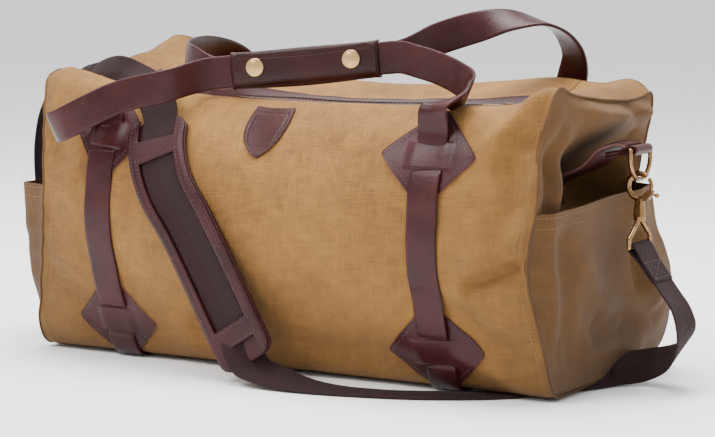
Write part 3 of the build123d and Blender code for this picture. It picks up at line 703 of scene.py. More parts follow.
# ---- rows of stitches --------------------------------------------------------------
@dataclass
class Stitcher:
    """Rows of thread stitches, laid along lines by one geometry tree."""

    pitch: float = 0.0044
    length: float = 0.0032
    radius: float = 0.00055
    tree: bpy.types.NodeTree = field(init=False)

    SOCKETS = (
        ("Geometry", "INPUT", "Geometry"), ("Pitch", "INPUT", "Float"), ("Stitch Length", "INPUT", "Float"),
        ("Thread Radius", "INPUT", "Float"), ("Seed", "INPUT", "Int"), ("Thread", "INPUT", "Material"),
        ("Geometry", "OUTPUT", "Geometry"),
    )
    NODES = {
        "inputs": ("NodeGroupInput", {}, {}),
        "outputs": ("NodeGroupOutput", {}, {}),
        "curve": ("GeometryNodeMeshToCurve", {}, {}),
        "even": ("GeometryNodeResampleCurve", {"mode": "LENGTH"}, {}),
        "points": ("GeometryNodeInstanceOnPoints", {}, {}),
        "bead": ("GeometryNodeMeshIcoSphere", {}, {"Subdivisions": 1, "Radius": 1.0}),
        "tangent": ("GeometryNodeInputTangent", {}, {}),
        "turn": ("FunctionNodeAlignRotationToVector", {"axis": "X"}, {}),
        "half": ("ShaderNodeMath", {"operation": "MULTIPLY"}, {1: 0.5}),
        "jitter": ("FunctionNodeRandomValue", {"data_type": "FLOAT"}, {"Min": 0.86, "Max": 1.08}),
        "uneven": ("ShaderNodeMath", {"operation": "MULTIPLY"}, {}),
        "size": ("ShaderNodeCombineXYZ", {}, {}),
        "real": ("GeometryNodeRealizeInstances", {}, {}),
        "shade": ("GeometryNodeSetShadeSmooth", {}, {}),
        "paint": ("GeometryNodeSetMaterial", {}, {}),
    }
    LINKS = (
        ("inputs", "Geometry", "curve", 0), ("curve", 0, "even", "Curve"),
        ("inputs", "Pitch", "even", "Length"), ("even", 0, "points", "Points"),
        ("bead", "Mesh", "points", "Instance"), ("tangent", 0, "turn", "Vector"),
        ("turn", 0, "points", "Rotation"), ("inputs", "Stitch Length", "half", 0),
        ("inputs", "Seed", "jitter", "Seed"), ("half", 0, "uneven", 0), ("jitter", "Value", "uneven", 1),
        ("uneven", 0, "size", "X"), ("inputs", "Thread Radius", "size", "Y"),
        ("inputs", "Thread Radius", "size", "Z"), ("size", 0, "points", "Scale"),
        ("points", 0, "real", 0), ("real", 0, "shade", 0), ("shade", 0, "paint", 0),
        ("inputs", "Thread", "paint", "Material"), ("paint", 0, "outputs", 0),
    )

    def __post_init__(self) -> None:
        """Build the tree that lays a stitch at each step of a line."""
        self.tree = bpy.data.node_groups.new("stitch_rows", "GeometryNodeTree")
        for name, way, kind in self.SOCKETS:
            self.tree.interface.new_socket(name, in_out=way, socket_type="NodeSocket" + kind)
        nodes = {}
        for label, (kind, settings, values) in self.NODES.items():
            nodes[label] = self.tree.nodes.new(kind)
            for key, value in settings.items():
                setattr(nodes[label], key, value)
            for key, value in values.items():
                nodes[label].inputs[key].default_value = value
        for source, output, target, socket in self.LINKS:
            self.tree.links.new(nodes[source].outputs[output], nodes[target].inputs[socket])

    def sew(
        self, name: str, rows: Sequence[Array], thread: bpy.types.Material, slot: Slot
    ) -> bpy.types.Object:
        """Stitches along several lines, as one plain mesh.

        Args:
            name: Name of the piece.
            rows: Lines of points that the stitches follow.
            thread: Material of the thread.
            slot: Not used.

        Returns:
            The object.
        """
        edges, first = [], 0
        for row in rows:
            edges += [(first + k, first + k + 1) for k in range(len(row) - 1)]
            first += len(row)
        mesh = bpy.data.meshes.new(name + "_lines")
        mesh.from_pydata(np.concatenate(rows).tolist(), edges, [])
        lines = make_object(name + "_lines", mesh)
        modifier = lines.modifiers.new("stitch_rows", "NODES")
        modifier.node_group = self.tree
        sizes = {"Pitch": self.pitch, "Stitch Length": self.length, "Thread Radius": self.radius}
        values = {**sizes, "Seed": 7, "Thread": thread}
        for item in self.tree.interface.items_tree:
            if item.in_out == "INPUT" and item.name in values:
                modifier[item.identifier] = values[item.name]
        return self.bake(lines, name, thread, slot)

    @staticmethod
    def bake(lines: bpy.types.Object, name: str, thread: bpy.types.Material, slot: Slot) -> bpy.types.Object:
        """Turn the tree's result into a plain mesh and drop its source."""
        bpy.context.view_layer.update()
        evaluated = lines.evaluated_get(bpy.context.evaluated_depsgraph_get())
        mesh = bpy.data.meshes.new_from_object(evaluated)
        mesh.name = name
        bpy.data.objects.remove(lines)
        return dress(make_object(name, mesh), thread)


# ---- the bag's form ------------------------------------------------------------------
class Face(Enum):
    """Front or back of the bag, with the side of the frame it is on."""

    FRONT = -1
    BACK = 1


class End(Enum):
    """Left or right end of the bag, with the side of the frame it is on."""

    LEFT = -1
    RIGHT = 1


@dataclass(frozen=True)
class Fold:
    """Crease or swelling along a line on one panel."""

    start: tuple[float, float]
    end: tuple[float, float]
    width: float
    height: float

    def over(self, a: Array, b: Array) -> Array:
        """Height it adds at places on the panel.

        Args:
            a: First coordinate of each place.
            b: Second coordinate of each place.

        Returns:
            Height at each place.
        """
        s, e = np.array(self.start), np.array(self.end)
        way = e - s
        long = float(way @ way) + 1e-9
        t = ((a - s[0]) * way[0] + (b - s[1]) * way[1]) / long
        t = np.clip(t, 0.0, 1.0)
        gap = np.hypot(a - s[0] - t * way[0], b - s[1] - t * way[1])
        return self.height * np.exp(-((gap / self.width) ** 2))


@dataclass(frozen=True)
class Ripple:
    """Soft uneven waves of slack cloth, the same on every run."""

    seed: int
    longest: float = 0.16
    shortest: float = 0.035
    height: float = 0.0016
    waves: int = 26

    def over(self, a: Array, b: Array) -> Array:
        """Height at places on the panel."""
        rng = np.random.default_rng(self.seed)
        total = np.zeros_like(a)
        for k in range(self.waves):
            wave = self.longest * (self.shortest / self.longest) ** (k / self.waves)
            angle, phase = rng.uniform(0, math.pi), rng.uniform(0, 2 * math.pi)
            beside = a * math.sin(angle) - b * math.cos(angle)
            bend = 0.5 * np.sin(2 * math.pi * beside / (2.3 * wave) + phase)
            arg = 2 * math.pi * (a * math.cos(angle) + b * math.sin(angle)) / wave + phase + bend
            total += (wave / self.longest) ** 0.9 * np.sin(arg)
        return self.height * total / math.sqrt(self.waves / 3)


def folds_over(folds: Sequence[Fold], a: Array, b: Array) -> Array:
    """Height of several folds together."""
    total = np.zeros_like(a)
    for fold in folds:
        total = total + fold.over(a, b)
    return total


@dataclass
class BagForm:
    """Outer shape of the filled bag, shared by every panel."""

    half_length: float = 0.300
    half_mouth: float = 0.225
    half_belly: float = 0.157
    belly_z: float = 0.150
    belly_taper: float = 0.005
    end_taper: float = 0.016
    crest_z: float = 0.270
    seam_y: float = 0.092
    floor_gap: float = 0.0035
    valley: float = 0.012

    FRONT_CREST = (
        (-0.300, 0.284), (-0.284, 0.292), (-0.262, 0.290), (-0.215, 0.280), (-0.150, 0.272),
        (-0.06, 0.268), (0.06, 0.267), (0.150, 0.268), (0.215, 0.270), (0.250, 0.272), (0.272, 0.278),
        (0.288, 0.288), (0.300, 0.289),
    )
    BACK_CREST = (
        (-0.300, 0.298), (-0.284, 0.314), (-0.235, 0.313), (-0.180, 0.300), (-0.120, 0.286),
        (-0.02, 0.276), (0.08, 0.277), (0.140, 0.282), (0.200, 0.287), (0.250, 0.283), (0.285, 0.286),
        (0.300, 0.276),
    )

    SLUMP = {
        (Face.BACK, End.RIGHT): (
            0.215, ((-0.010, 0.006), (0.022, 0.012), (-0.040, 0.010), (-0.028, 0.0), (0.0, 0.0)),
        ),
        (Face.BACK, End.LEFT): (
            0.20, ((-0.006, 0.003), (0.006, 0.004), (-0.010, 0.0), (-0.006, 0.0), (0.0, 0.0)),
        ),
        (Face.FRONT, End.RIGHT): (
            0.20, ((0.0, 0.0), (0.0, 0.0), (-0.003, -0.012), (-0.008, 0.0), (0.0, 0.0)),
        ),
    }
    LEFT_DRAW = (
        (0.0, 0.0), (0.03, 0.002), (0.06, 0.012), (0.12, 0.027), (0.175, 0.032), (0.23, 0.026),
        (0.26, 0.018), (0.285, 0.008),
    )

    def dip(self, x: Array) -> Array:
        """Depth of the valley between the crests, deeper at the left where the webbing lies."""
        return self.valley + 0.008 * smooth(-np.asarray(x, float), 0.20, 0.29)

    def crest(self, x: float, face: Face) -> float:
        """Height of the crest at x."""
        keys = self.FRONT_CREST if face is Face.FRONT else self.BACK_CREST
        return float(table(np.array([x]), keys)[0])

    def half(self, x: float) -> float:
        """Half depth of the belly at x."""
        if abs(x) <= self.half_mouth:
            return self.half_belly - self.belly_taper * (x / self.half_mouth) ** 2
        t = (abs(x) - self.half_mouth) / (self.half_length - self.half_mouth)
        return self.half_belly - self.belly_taper - (self.end_taper - self.belly_taper) * t * t

    def profile(self, x: float, face: Face, count: int) -> Array:
        """Side of the bag at x, from its bottom seam to its crest.

        Args:
            x: Place along the bag.
            face: Front or back.
            count: How many points.

        Returns:
            Points of depth and height.
        """
        swell = self.half(x) - self.seam_y
        crest = self.crest(x, face)
        keys = np.array([
            (self.seam_y, self.floor_gap),
            (self.seam_y + 0.5 * swell, self.floor_gap + 0.22 * self.belly_z),
            (self.seam_y + swell, self.belly_z),
            (self.seam_y + 0.68 * swell, crest - 0.13 * self.crest_z),
            (self.seam_y, crest),
        ])
        keys += self.slump(x, face)
        line = clamped_curve(keys, np.array([1.0, 0.0]), np.array([-1.0, 0.0]), count)
        line[:, 0] *= face.value
        return line

    def slump(self, x: float, face: Face) -> Array:
        """How far the cloth hangs off its patterned shape at x.

        Args:
            x: Place along the bag.
            face: Front or back.

        Returns:
            Change in depth and height of the five points of the profile.
        """
        change = np.zeros((5, 2))
        for (side, end), (start, moves) in self.SLUMP.items():
            if side is face:
                change += float(smooth(np.array(end.value * x), start, 0.298)) * np.array(moves)
        return change

    def end_shift(self, height: Array, face: Face, end: End) -> Array:
        """How far the end seam is drawn in, by height."""
        if end is End.RIGHT and face is Face.FRONT:
            return -0.010 * bell(height, 0.120, 0.050) - 0.006 * bell(height, 0.235, 0.030)
        if end is End.RIGHT:
            pinch = 0.026 * bell(height, 0.138, 0.036)
            return -0.012 * bell(height, 0.185, 0.055) - pinch - 0.006 * smooth(0.03 - height, 0.0, 0.03)
        if face is Face.FRONT:
            return -table(height, self.LEFT_DRAW)
        return -0.006 * bell(height, 0.170, 0.070)


@dataclass
class Shell:
    """Canvas of the bag: panels, ends, top, mouth flaps and end pockets."""

    form: BagForm
    finishes: Finishes
    canvas: float = 0.0028
    columns: int = 190
    rows: int = 130
    sheets: dict[str, Sheet] = field(default_factory=dict)

    FRONT_FOLDS = (
        Fold((0.292, 0.284), (0.250, 0.240), 0.012, 0.0080),
        Fold((0.276, 0.246), (0.298, 0.238), 0.012, -0.0120),
        Fold((0.268, 0.224), (0.280, 0.186), 0.014, -0.0120),
        Fold((0.266, 0.166), (0.262, 0.140), 0.014, -0.0060),
        Fold((0.290, 0.152), (0.240, 0.128), 0.012, 0.0050),
        Fold((0.296, 0.133), (0.236, 0.108), 0.008, -0.0110),
        Fold((0.293, 0.214), (0.294, 0.182), 0.007, 0.0065),
        Fold((0.140, 0.110), (0.225, 0.075), 0.020, -0.0040),
        Fold((0.225, 0.100), (0.284, 0.062), 0.014, 0.0045),
        Fold((0.235, 0.060), (0.292, 0.030), 0.013, -0.0040),
        Fold((0.215, 0.034), (0.275, 0.018), 0.010, 0.0035),
        Fold((-0.292, 0.250), (-0.245, 0.205), 0.018, -0.0045),
        Fold((-0.290, 0.120), (-0.240, 0.060), 0.018, -0.0040),
        Fold((-0.150, 0.255), (0.020, 0.250), 0.012, -0.0025),
        Fold((0.040, 0.256), (0.150, 0.262), 0.010, -0.0030),
        Fold((-0.080, 0.040), (0.150, 0.030), 0.014, -0.0035),
        Fold((0.040, 0.100), (0.150, 0.060), 0.030, 0.0030),
        Fold((-0.020, 0.190), (0.120, 0.170), 0.050, 0.0045),
        Fold((0.188, 0.250), (0.188, 0.030), 0.030, -0.0030),
        Fold((-0.188, 0.250), (-0.188, 0.030), 0.030, -0.0030),
    )
    BACK_FOLDS = (
        Fold((0.190, 0.255), (0.280, 0.215), 0.016, -0.0055),
        Fold((0.230, 0.130), (0.285, 0.080), 0.018, -0.0050),
        Fold((-0.285, 0.245), (-0.220, 0.190), 0.018, -0.0050),
        Fold((-0.285, 0.110), (-0.230, 0.060), 0.018, -0.0045),
        Fold((-0.100, 0.250), (0.080, 0.246), 0.014, -0.0035),
        Fold((-0.120, 0.040), (0.120, 0.034), 0.014, -0.0035),
        Fold((0.188, 0.250), (0.188, 0.030), 0.030, -0.0030),
        Fold((-0.188, 0.250), (-0.188, 0.030), 0.030, -0.0030),
    )

    def side(self, face: Face) -> Sheet:
        """Front or back panel, from the bottom seam to the crest."""
        form = self.form
        across = np.linspace(-form.half_length, form.half_length, self.columns)
        grid = np.zeros((self.columns, self.rows, 3))
        for i, x in enumerate(across):
            grid[i, :, 0] = x
            grid[i, :, 1:] = form.profile(x, face, self.rows)
        for end in End:
            pull = smooth(across * end.value, 0.17, 0.30)
            grid[:, :, 0] += end.value * pull[:, None] * form.end_shift(grid[:, :, 2], face, end)
        along = np.linspace(0.0, float(lengths(grid[self.columns // 2])[-1]), self.rows)
        sheet = Sheet(grid, across, along, outside=float(-face.value))
        x, z = grid[..., 0], grid[..., 2]
        ends = smooth(self.form.half_length - np.abs(across), 0.0, 0.010)[:, None]
        edge = ends * (smooth(along, 0.0, 0.03) * smooth(along[-1] - along, 0.0, 0.02))[None, :]
        folds = self.FRONT_FOLDS if face is Face.FRONT else self.BACK_FOLDS
        near_seam = np.exp(-((self.form.half_length - np.abs(x)) / 0.035))
        waves = np.sin(2 * math.pi * z / 0.031 + 1.3 * np.sin(z / 0.019))
        puckers = 0.0012 * near_seam * waves * smooth(self.form.half_length - np.abs(x), 0.0, 0.012)
        slack = Ripple(11 if face is Face.FRONT else 23).over(x, z) * (0.70 + 1.1 * near_seam)
        sheet.push(folds_over(folds, x, z) * edge + slack * edge + puckers)
        return sheet

    def end(self, end: End) -> Sheet:
        """End panel between the front and back panels, pressed in where it hangs slack."""
        pick = -1 if end is End.RIGHT else 0
        front = self.sheets["front"].points[pick]
        back = self.sheets["back"].points[pick]
        across = np.linspace(0.0, 1.0, 90)
        w = across[:, None, None]
        grid = (1 - w) * front[None] + w * back[None]
        v = np.linspace(0.0, 1.0, self.rows)[None, :]
        w = across[:, None]
        dip = 4 * w * (1 - w)
        depth = float(self.form.dip(end.value * self.form.half_length))
        top = smooth(v, 0.80, 1.0)
        grid[..., 2] -= depth * dip * top
        hold = smooth(w, 0.0, 0.14) * smooth(1 - w, 0.0, 0.14)
        hold = hold * smooth(v, 0.0, 0.10) * smooth(1 - v, 0.0, 0.07)
        y, z = grid[..., 1], grid[..., 2]
        sign = end.value
        if end is End.RIGHT:
            hollow = -0.060 * bell(z, 0.186, 0.034) * (1 - smooth(np.abs(y - 0.016), 0.045, 0.092))
            cap = 0.015 * bell(z, 0.256, 0.020) - 0.006 * bell(z, 0.222, 0.016)
            belly = 0.006 * np.exp(-(((z - 0.090) / 0.05) ** 2) - (((y + 0.02) / 0.09) ** 2))
            folds = folds_over(self.RIGHT_FOLDS, y, z)
        else:
            hollow = -0.014 * np.exp(-(((z - 0.195) / 0.05) ** 2) - (((y - 0.005) / 0.080) ** 2))
            cap = 0.008 * bell(z, 0.262, 0.03)
            belly = 0.004 * bell(z, 0.10, 0.06)
            folds = folds_over(self.LEFT_FOLDS, y, z)
        slack = Ripple(31 + sign, height=0.0014).over(y, z)
        grid[..., 0] += sign * (hollow + cap + belly + folds + slack) * hold
        along = np.linspace(0.0, 0.42, self.rows)
        across = (across - 0.5) * 0.26
        return Sheet(grid, across, along, outside=float(sign))

    RIGHT_FOLDS = (
        Fold((-0.085, 0.262), (-0.030, 0.238), 0.012, -0.007),
        Fold((-0.040, 0.276), (0.010, 0.258), 0.012, 0.006),
        Fold((0.030, 0.272), (0.070, 0.240), 0.010, -0.008),
        Fold((0.050, 0.275), (0.070, 0.235), 0.012, 0.003),
        Fold((-0.095, 0.250), (-0.112, 0.180), 0.009, -0.007),
        Fold((-0.080, 0.235), (-0.095, 0.175), 0.010, 0.006),
    )
    LEFT_FOLDS = (
        Fold((-0.080, 0.260), (-0.020, 0.225), 0.014, -0.005),
        Fold((0.080, 0.260), (0.020, 0.225), 0.014, -0.005),
        Fold((-0.060, 0.275), (0.060, 0.270), 0.012, 0.004),
    )

    def top(self, x_range: tuple[float, float], y_range: tuple[float, float], columns: int) -> Sheet:
        """Part of the top between the crests, which dips along the zip."""
        across = np.linspace(*x_range, columns)
        along = np.linspace(*y_range, 60)
        x, y = np.meshgrid(across, along, indexing="ij")
        front = table(across, self.form.FRONT_CREST)[:, None]
        back = table(across, self.form.BACK_CREST)[:, None]
        share = (y / self.form.seam_y + 1.0) / 2.0
        dip = self.form.dip(x) * (1.0 - (y / self.form.seam_y) ** 2)
        press = smooth(-x, 0.14, 0.22) * smooth(self.form.half_length - np.abs(x), 0.0, 0.03)
        dip += 0.017 * press * np.exp(-(((y + 0.044) / 0.034) ** 2))
        slot = 1.0 - smooth(np.abs(across), 0.15, 0.27)[:, None]
        level = (front + back) / 2 - self.form.valley
        z = (1 - share) * front + share * back - dip
        flat = np.exp(-((y / 0.030) ** 2)) * slot
        z = z * (1 - flat) + flat * np.minimum(level, 0.2605)
        calm = smooth(self.form.seam_y - np.abs(y), 0.0, 0.02)
        lift = Ripple(47, height=0.0016).over(x, y) * calm * (1 - np.exp(-((y / 0.034) ** 2)) * slot)
        puff = 0.010 * smooth(np.abs(x), 0.235, 0.285) * bell(np.abs(x), 0.272, 0.02)
        puff = puff * (1 - (y / self.form.seam_y) ** 2)
        points = np.stack([x, y, z + lift + puff], axis=-1)
        return Sheet(points, across, along, outside=1.0)

    def floor_panel(self) -> Sheet:
        """Bottom panel, sagging onto the floor in its middle."""
        across = np.linspace(-self.form.half_length, self.form.half_length, self.columns)
        along = np.linspace(-self.form.seam_y, self.form.seam_y, 50)
        x, y = np.meshgrid(across, along, indexing="ij")
        rim = self.form.floor_gap
        sag = smooth(0.165 - np.abs(x), 0.0, 0.02) * smooth(0.080 - np.abs(y), 0.0, 0.02)
        z = rim - (rim - 0.0004) * sag
        front, back = self.sheets["front"].points[:, 0], self.sheets["back"].points[:, 0]
        share = ((along + self.form.seam_y) / (2 * self.form.seam_y))[None, :, None]
        grid = (1 - share) * front[:, None] + share * back[:, None]
        grid[..., 2] += z - rim
        return Sheet(grid, across, along, outside=-1.0)

    def pocket(self, end: End) -> Sheet:
        """Slip pocket over the lower part of an end, open at its hem."""
        base = self.sheets["left_end" if end is End.LEFT else "right_end"]
        across = np.linspace(base.across[0], base.across[-1], 100)
        rows = 80
        along = np.linspace(0.0, 1.0, rows)
        w = np.linspace(0.0, 1.0, 100)
        grid = np.zeros((100, rows, 3))
        for i, place in enumerate(across):
            line, _ = base.at(np.full(200, place), np.linspace(base.along[0], base.along[-1], 200))
            hem = 0.176 + 0.012 * w[i] if end is End.RIGHT else 0.174
            keep = line[:, 2] <= hem + 0.02
            rising = np.maximum.accumulate(line[:, 2])
            heights = np.linspace(0.008, hem, rows)
            grid[i, :, 0] = np.interp(heights, rising, line[:, 0])
            grid[i, :, 1] = np.interp(heights, rising, line[:, 1])
            grid[i, :, 2] = heights
            del keep
        sign = end.value
        edge = (smooth(w, 0.0, 0.07) * smooth(1 - w, 0.0, 0.07))[:, None]
        level = (grid[..., 2] - 0.008) / 0.17
        wide = sign * self.form.half_length
        taut = wide + sign * (0.001 + 0.009 * edge * smooth(level, 0.0, 0.5))
        y, z = grid[..., 1], grid[..., 2]
        if end is End.RIGHT:
            bulge = 0.010 * np.exp(-(((y - 0.075) / 0.040) ** 2) - (((z - 0.080) / 0.05) ** 2))
            fold = folds_over(self.POCKET_FOLDS, y, z)
        else:
            bulge = 0.003 * np.exp(-((y / 0.06) ** 2) - (((z - 0.09) / 0.05) ** 2))
            fold = np.zeros_like(y)
        slack = Ripple(53 + sign, height=0.0013).over(y, z)
        seam_x = grid[..., 0] + sign * 0.0015
        clear = 1 - 0.85 * np.exp(-((y / 0.034) ** 2)) * smooth(z, 0.07, 0.10)
        proud = taut + sign * ((bulge + fold + slack) * clear - 0.004 * (1 - clear)) * edge
        grid[..., 0] = seam_x * (1 - edge) + proud * edge
        return Sheet(grid, across, along * 0.175, outside=float(sign))

    POCKET_FOLDS = (
        Fold((-0.100, 0.150), (-0.092, 0.050), 0.014, -0.0070),
        Fold((-0.062, 0.122), (-0.018, 0.086), 0.022, 0.0060),
        Fold((0.004, 0.116), (0.046, 0.168), 0.018, 0.0060),
        Fold((0.038, 0.142), (0.047, 0.094), 0.008, -0.0070),
        Fold((0.056, 0.134), (0.078, 0.074), 0.010, 0.0070),
        Fold((-0.030, 0.060), (0.078, 0.064), 0.015, -0.0080),
        Fold((-0.045, 0.038), (0.052, 0.030), 0.014, 0.0060),
    )

    def build(self) -> None:
        """Build every canvas piece and hang it on its body."""
        form = self.form
        self.sheets["front"] = self.side(Face.FRONT)
        self.sheets["back"] = self.side(Face.BACK)
        self.sheets["left_end"] = self.end(End.LEFT)
        self.sheets["right_end"] = self.end(End.RIGHT)
        self.sheets["bottom"] = self.floor_panel()
        half, inset = form.half_mouth, 0.0006
        self.sheets["top_left"] = self.top((-form.half_length, -half), (-form.seam_y, form.seam_y), 40)
        self.sheets["top_right"] = self.top((half, form.half_length), (-form.seam_y, form.seam_y), 40)
        self.sheets["flap_front"] = self.top((-half + inset, half - inset), (-form.seam_y, -0.0125), 120)
        self.sheets["flap_back"] = self.top((-half + inset, half - inset), (0.0125, form.seam_y), 120)
        nodes = {
            "front": "front_panel", "back": "back_panel", "left_end": "left_gusset",
            "right_end": "right_gusset", "bottom": "bottom_panel",
        }
        for key, node in nodes.items():
            # The end panels take the darker copy of the canvas, as painted shade.
            cloth = self.finishes.canvas if key in ("front", "back", "bottom") else self.finishes.canvas_end
            piece = dress(self.sheets[key].build(node + "_canvas", self.canvas), cloth)
            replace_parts(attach(piece, "bag"), node)
            log.info("canvas %s", key)
        tops = [self.sheets[key].build(key + "_canvas", self.canvas) for key in ("top_left", "top_right")]
        for piece in tops:
            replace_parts(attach(dress(piece, self.finishes.canvas), "bag"), "top_ends")
        for face in Face:
            side = face.name.lower()
            piece = self.sheets["flap_" + side].build(side + "_flap_canvas", self.canvas)
            dress(piece, self.finishes.canvas)
            end = (0.0, face.value * (form.seam_y - 0.022), 0.2685)
            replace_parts(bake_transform(piece), side + "_mouth_flap")
        for end in End:
            side = end.name.lower()
            self.sheets[side + "_pocket"] = self.pocket(end)
            piece = self.sheets[side + "_pocket"].build(side + "_pocket_canvas", self.canvas * 0.8)
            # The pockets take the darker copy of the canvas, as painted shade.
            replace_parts(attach(dress(piece, self.finishes.canvas_end), "bag"), side + "_end_pocket")
        self.seams()

    def seams(self) -> None:
        """Rolled seams round each end and along the bottom, and rows of stitches beside them."""
        rows = []
        for end in End:
            pick = -1 if end is End.RIGHT else 0
            side = end.name.lower()
            loop = [self.sheets[face.name.lower()].points[pick] for face in Face]
            top = self.sheets["top_" + side].points[pick]
            base = self.sheets["bottom"].points[pick]
            line = np.concatenate([loop[0], top[1:-1], loop[1][::-1], base[::-1][1:-1]])
            welt = Welt(side + "_end_seam", line, 0.0013, closed=True).build()
            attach(dress(welt, self.finishes.lining), "bag")
        for face in Face:
            side = face.name.lower()
            sheet = self.sheets[side]
            welt = Welt(side + "_bottom_seam", sheet.points[2:-2, 0], 0.0012).build()
            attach(dress(welt, self.finishes.lining), "bag")
            v = np.linspace(sheet.along[2], sheet.along[-3], 160)
            for sign in (-1, 1):
                points, ways = sheet.at(np.full(160, sign * 0.292), v)
                rows.append(points + ways * 0.0002)
        for end in End:
            sheet = self.sheets[end.name.lower() + "_pocket"]
            u = np.linspace(sheet.across[2], sheet.across[-3], 120)
            for drop in (0.004, 0.014):
                points, ways = sheet.at(u, np.full(120, sheet.along[-1] - drop))
                rows.append(points + ways * 0.0002)
        stitcher = Stitcher(pitch=0.0036, length=0.0026, radius=0.00035)
        stitches = stitcher.sew("canvas_stitches", rows, self.finishes.canvas_thread, Slot.CANVAS)
        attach(stitches, "bag")


@dataclass
class Welt:
    """Rolled seam: a round bead of cloth along a line."""

    name: str
    line: Array
    radius: float
    closed: bool = False
    sides: int = 10

    def build(self) -> bpy.types.Object:
        """Closed mesh of the bead."""
        line = np.asarray(self.line, float)
        if self.closed:
            line = np.concatenate([line, line[:1]])
            line = resample(line, int(lengths(line)[-1] / 0.004))[0][:-1]
            way = unit(np.roll(line, -1, axis=0) - np.roll(line, 1, axis=0))
        else:
            line = resample(line, max(8, int(lengths(line)[-1] / 0.004)))[0]
            way = unit(np.gradient(line, axis=0))
        side = unit(np.cross(way, np.array([0.31, 0.11, 0.94])))
        up = np.cross(side, way)
        angle = np.linspace(0, 2 * math.pi, self.sides, endpoint=False)
        rings = (
            line[:, None]
            + self.radius * np.cos(angle)[None, :, None] * side[:, None]
            + self.radius * np.sin(angle)[None, :, None] * up[:, None]
        )
        rows = len(line)
        points = rings.reshape(-1, 3)
        faces: list[tuple[int, ...]] = list(grid_faces(rows, self.sides, closed=True))
        if self.closed:
            last = (rows - 1) * self.sides
            for c in range(self.sides):
                d = (c + 1) % self.sides
                faces.append((last + c, last + d, d, c))
        else:
            faces.append(tuple(range(self.sides)))
            faces.append(tuple((rows - 1) * self.sides + c for c in reversed(range(self.sides))))
        run = np.repeat(lengths(line)[:, None], self.sides, axis=1)
        around = np.repeat((angle * self.radius)[None, :], rows, axis=0)
        uv = np.stack([around, run], axis=-1).reshape(-1, 2)
        return make_object(self.name, tidy_normals(make_mesh(self.name, points, faces, uv)))


# ---- leather on the canvas ----------------------------------------------------------
def cut_edges(
    piece: bpy.types.Object, layer: int, finishes: Finishes, body: bpy.types.Material
) -> bpy.types.Object:
    """Leather face with a paler cut edge all round.

    Args:
        piece: Closed mesh whose last faces are its edge.
        layer: How many faces come before the edge's.
        finishes: The bag's materials.
        body: Leather of the face.

    Returns:
        The piece.
    """
    dress(piece, body)
    piece.data.materials.append(finishes.edge)
    index = np.zeros(len(piece.data.polygons), np.int32)
    index[layer:] = 1
    piece.data.polygons.foreach_set("material_index", index)
    return piece


@dataclass
class Patch:
    """Square patch on its point, with a raised bridge that the strap passes behind."""

    name: str
    sheet: Sheet
    x: float
    height: float
    finishes: Finishes
    half: float = 0.053
    corner: float = 0.003
    thickness: float = 0.0018
    bridge_height: float = 0.027
    strap_width: float = 0.032
    shoulder: float = 0.011
    rise: float = 0.0018

    def __post_init__(self) -> None:
        """Find the patch's middle in the panel's flat measure."""
        self.middle = self.sheet.height_place(self.x, self.height)

    def layer(self, du: Array, dv: Array, lift: Array) -> tuple[Array, Array]:
        """Points over the panel at places measured from the patch's middle."""
        points, ways = self.sheet.at((self.x + du).ravel(), (self.middle + dv).ravel())
        return (points + ways * lift.ravel()[:, None]).reshape(*du.shape, 3), ways.reshape(*du.shape, 3)

    def lift(self, du: Array, dv: Array) -> Array:
        """Height of the leather's face: over the canvas, or over the strap between the slots."""
        hump = 1 - smooth(np.abs(du), self.strap_width / 2 - 0.001, self.strap_width / 2 + self.shoulder)
        band = 1 - smooth(np.abs(dv), self.bridge_height / 2 - 0.0001, self.bridge_height / 2 + 0.0001)
        arch = 1 - 0.10 * (2 * np.clip(dv / self.bridge_height, -0.5, 0.5)) ** 4
        return 0.0004 + self.thickness + self.rise * hump * band * arch

    def build(self) -> bpy.types.Object:
        """Build the patch, one piece of leather slit twice for the strap.

        Returns:
            The patch.
        """
        slit = self.bridge_height / 2
        tip = self.half - self.corner
        outer = np.linspace(slit + 0.0003, tip, 22)
        dv = np.concatenate([-outer[::-1], np.linspace(-slit + 0.0003, slit - 0.0003, 16), outer])
        cross = np.linspace(-1.0, 1.0, 71)
        width = self.half - np.sqrt(dv**2 + self.corner**2)
        du = cross[:, None] * width[None]
        dv = np.tile(dv[None], (len(cross), 1))
        points, _ = self.layer(du, dv, self.lift(du, dv))
        flat = Sheet(points, cross * self.half, dv[0], outside=self.sheet.outside)
        base = flat.build(self.name + "_patch", self.thickness * 0.9)
        layer = 2 * (du.shape[0] - 1) * (du.shape[1] - 1)
        return cut_edges(base, layer, self.finishes, self.finishes.trim)

    def stitch_rows(self) -> list[Array]:
        """Row of stitches inside the patch's edge, broken where the strap crosses it."""
        inset = 1 - 0.0062 / self.half
        t = np.linspace(-1, 1, 24)[:-1] * inset
        one = np.full_like(t, inset)
        p = np.concatenate([t, one, -t, -one])
        q = np.concatenate([-one, t, one, -t])
        p, q = np.append(p, p[0]), np.append(q, q[0])
        du, dv = (p - q) / 2 * self.half, (p + q) / 2 * self.half
        lift = self.lift(du, dv) + 0.0001
        keep = (np.abs(du) > self.strap_width / 2 + 0.001)
        points, _ = self.layer(du, dv, lift)
        rows, run = [], []
        for point, good in zip(points, keep):
            if good:
                run.append(point)
            elif len(run) > 2:
                rows.append(np.array(run))
                run = []
            else:
                run = []
        if len(run) > 2:
            rows.append(np.array(run))
        return rows


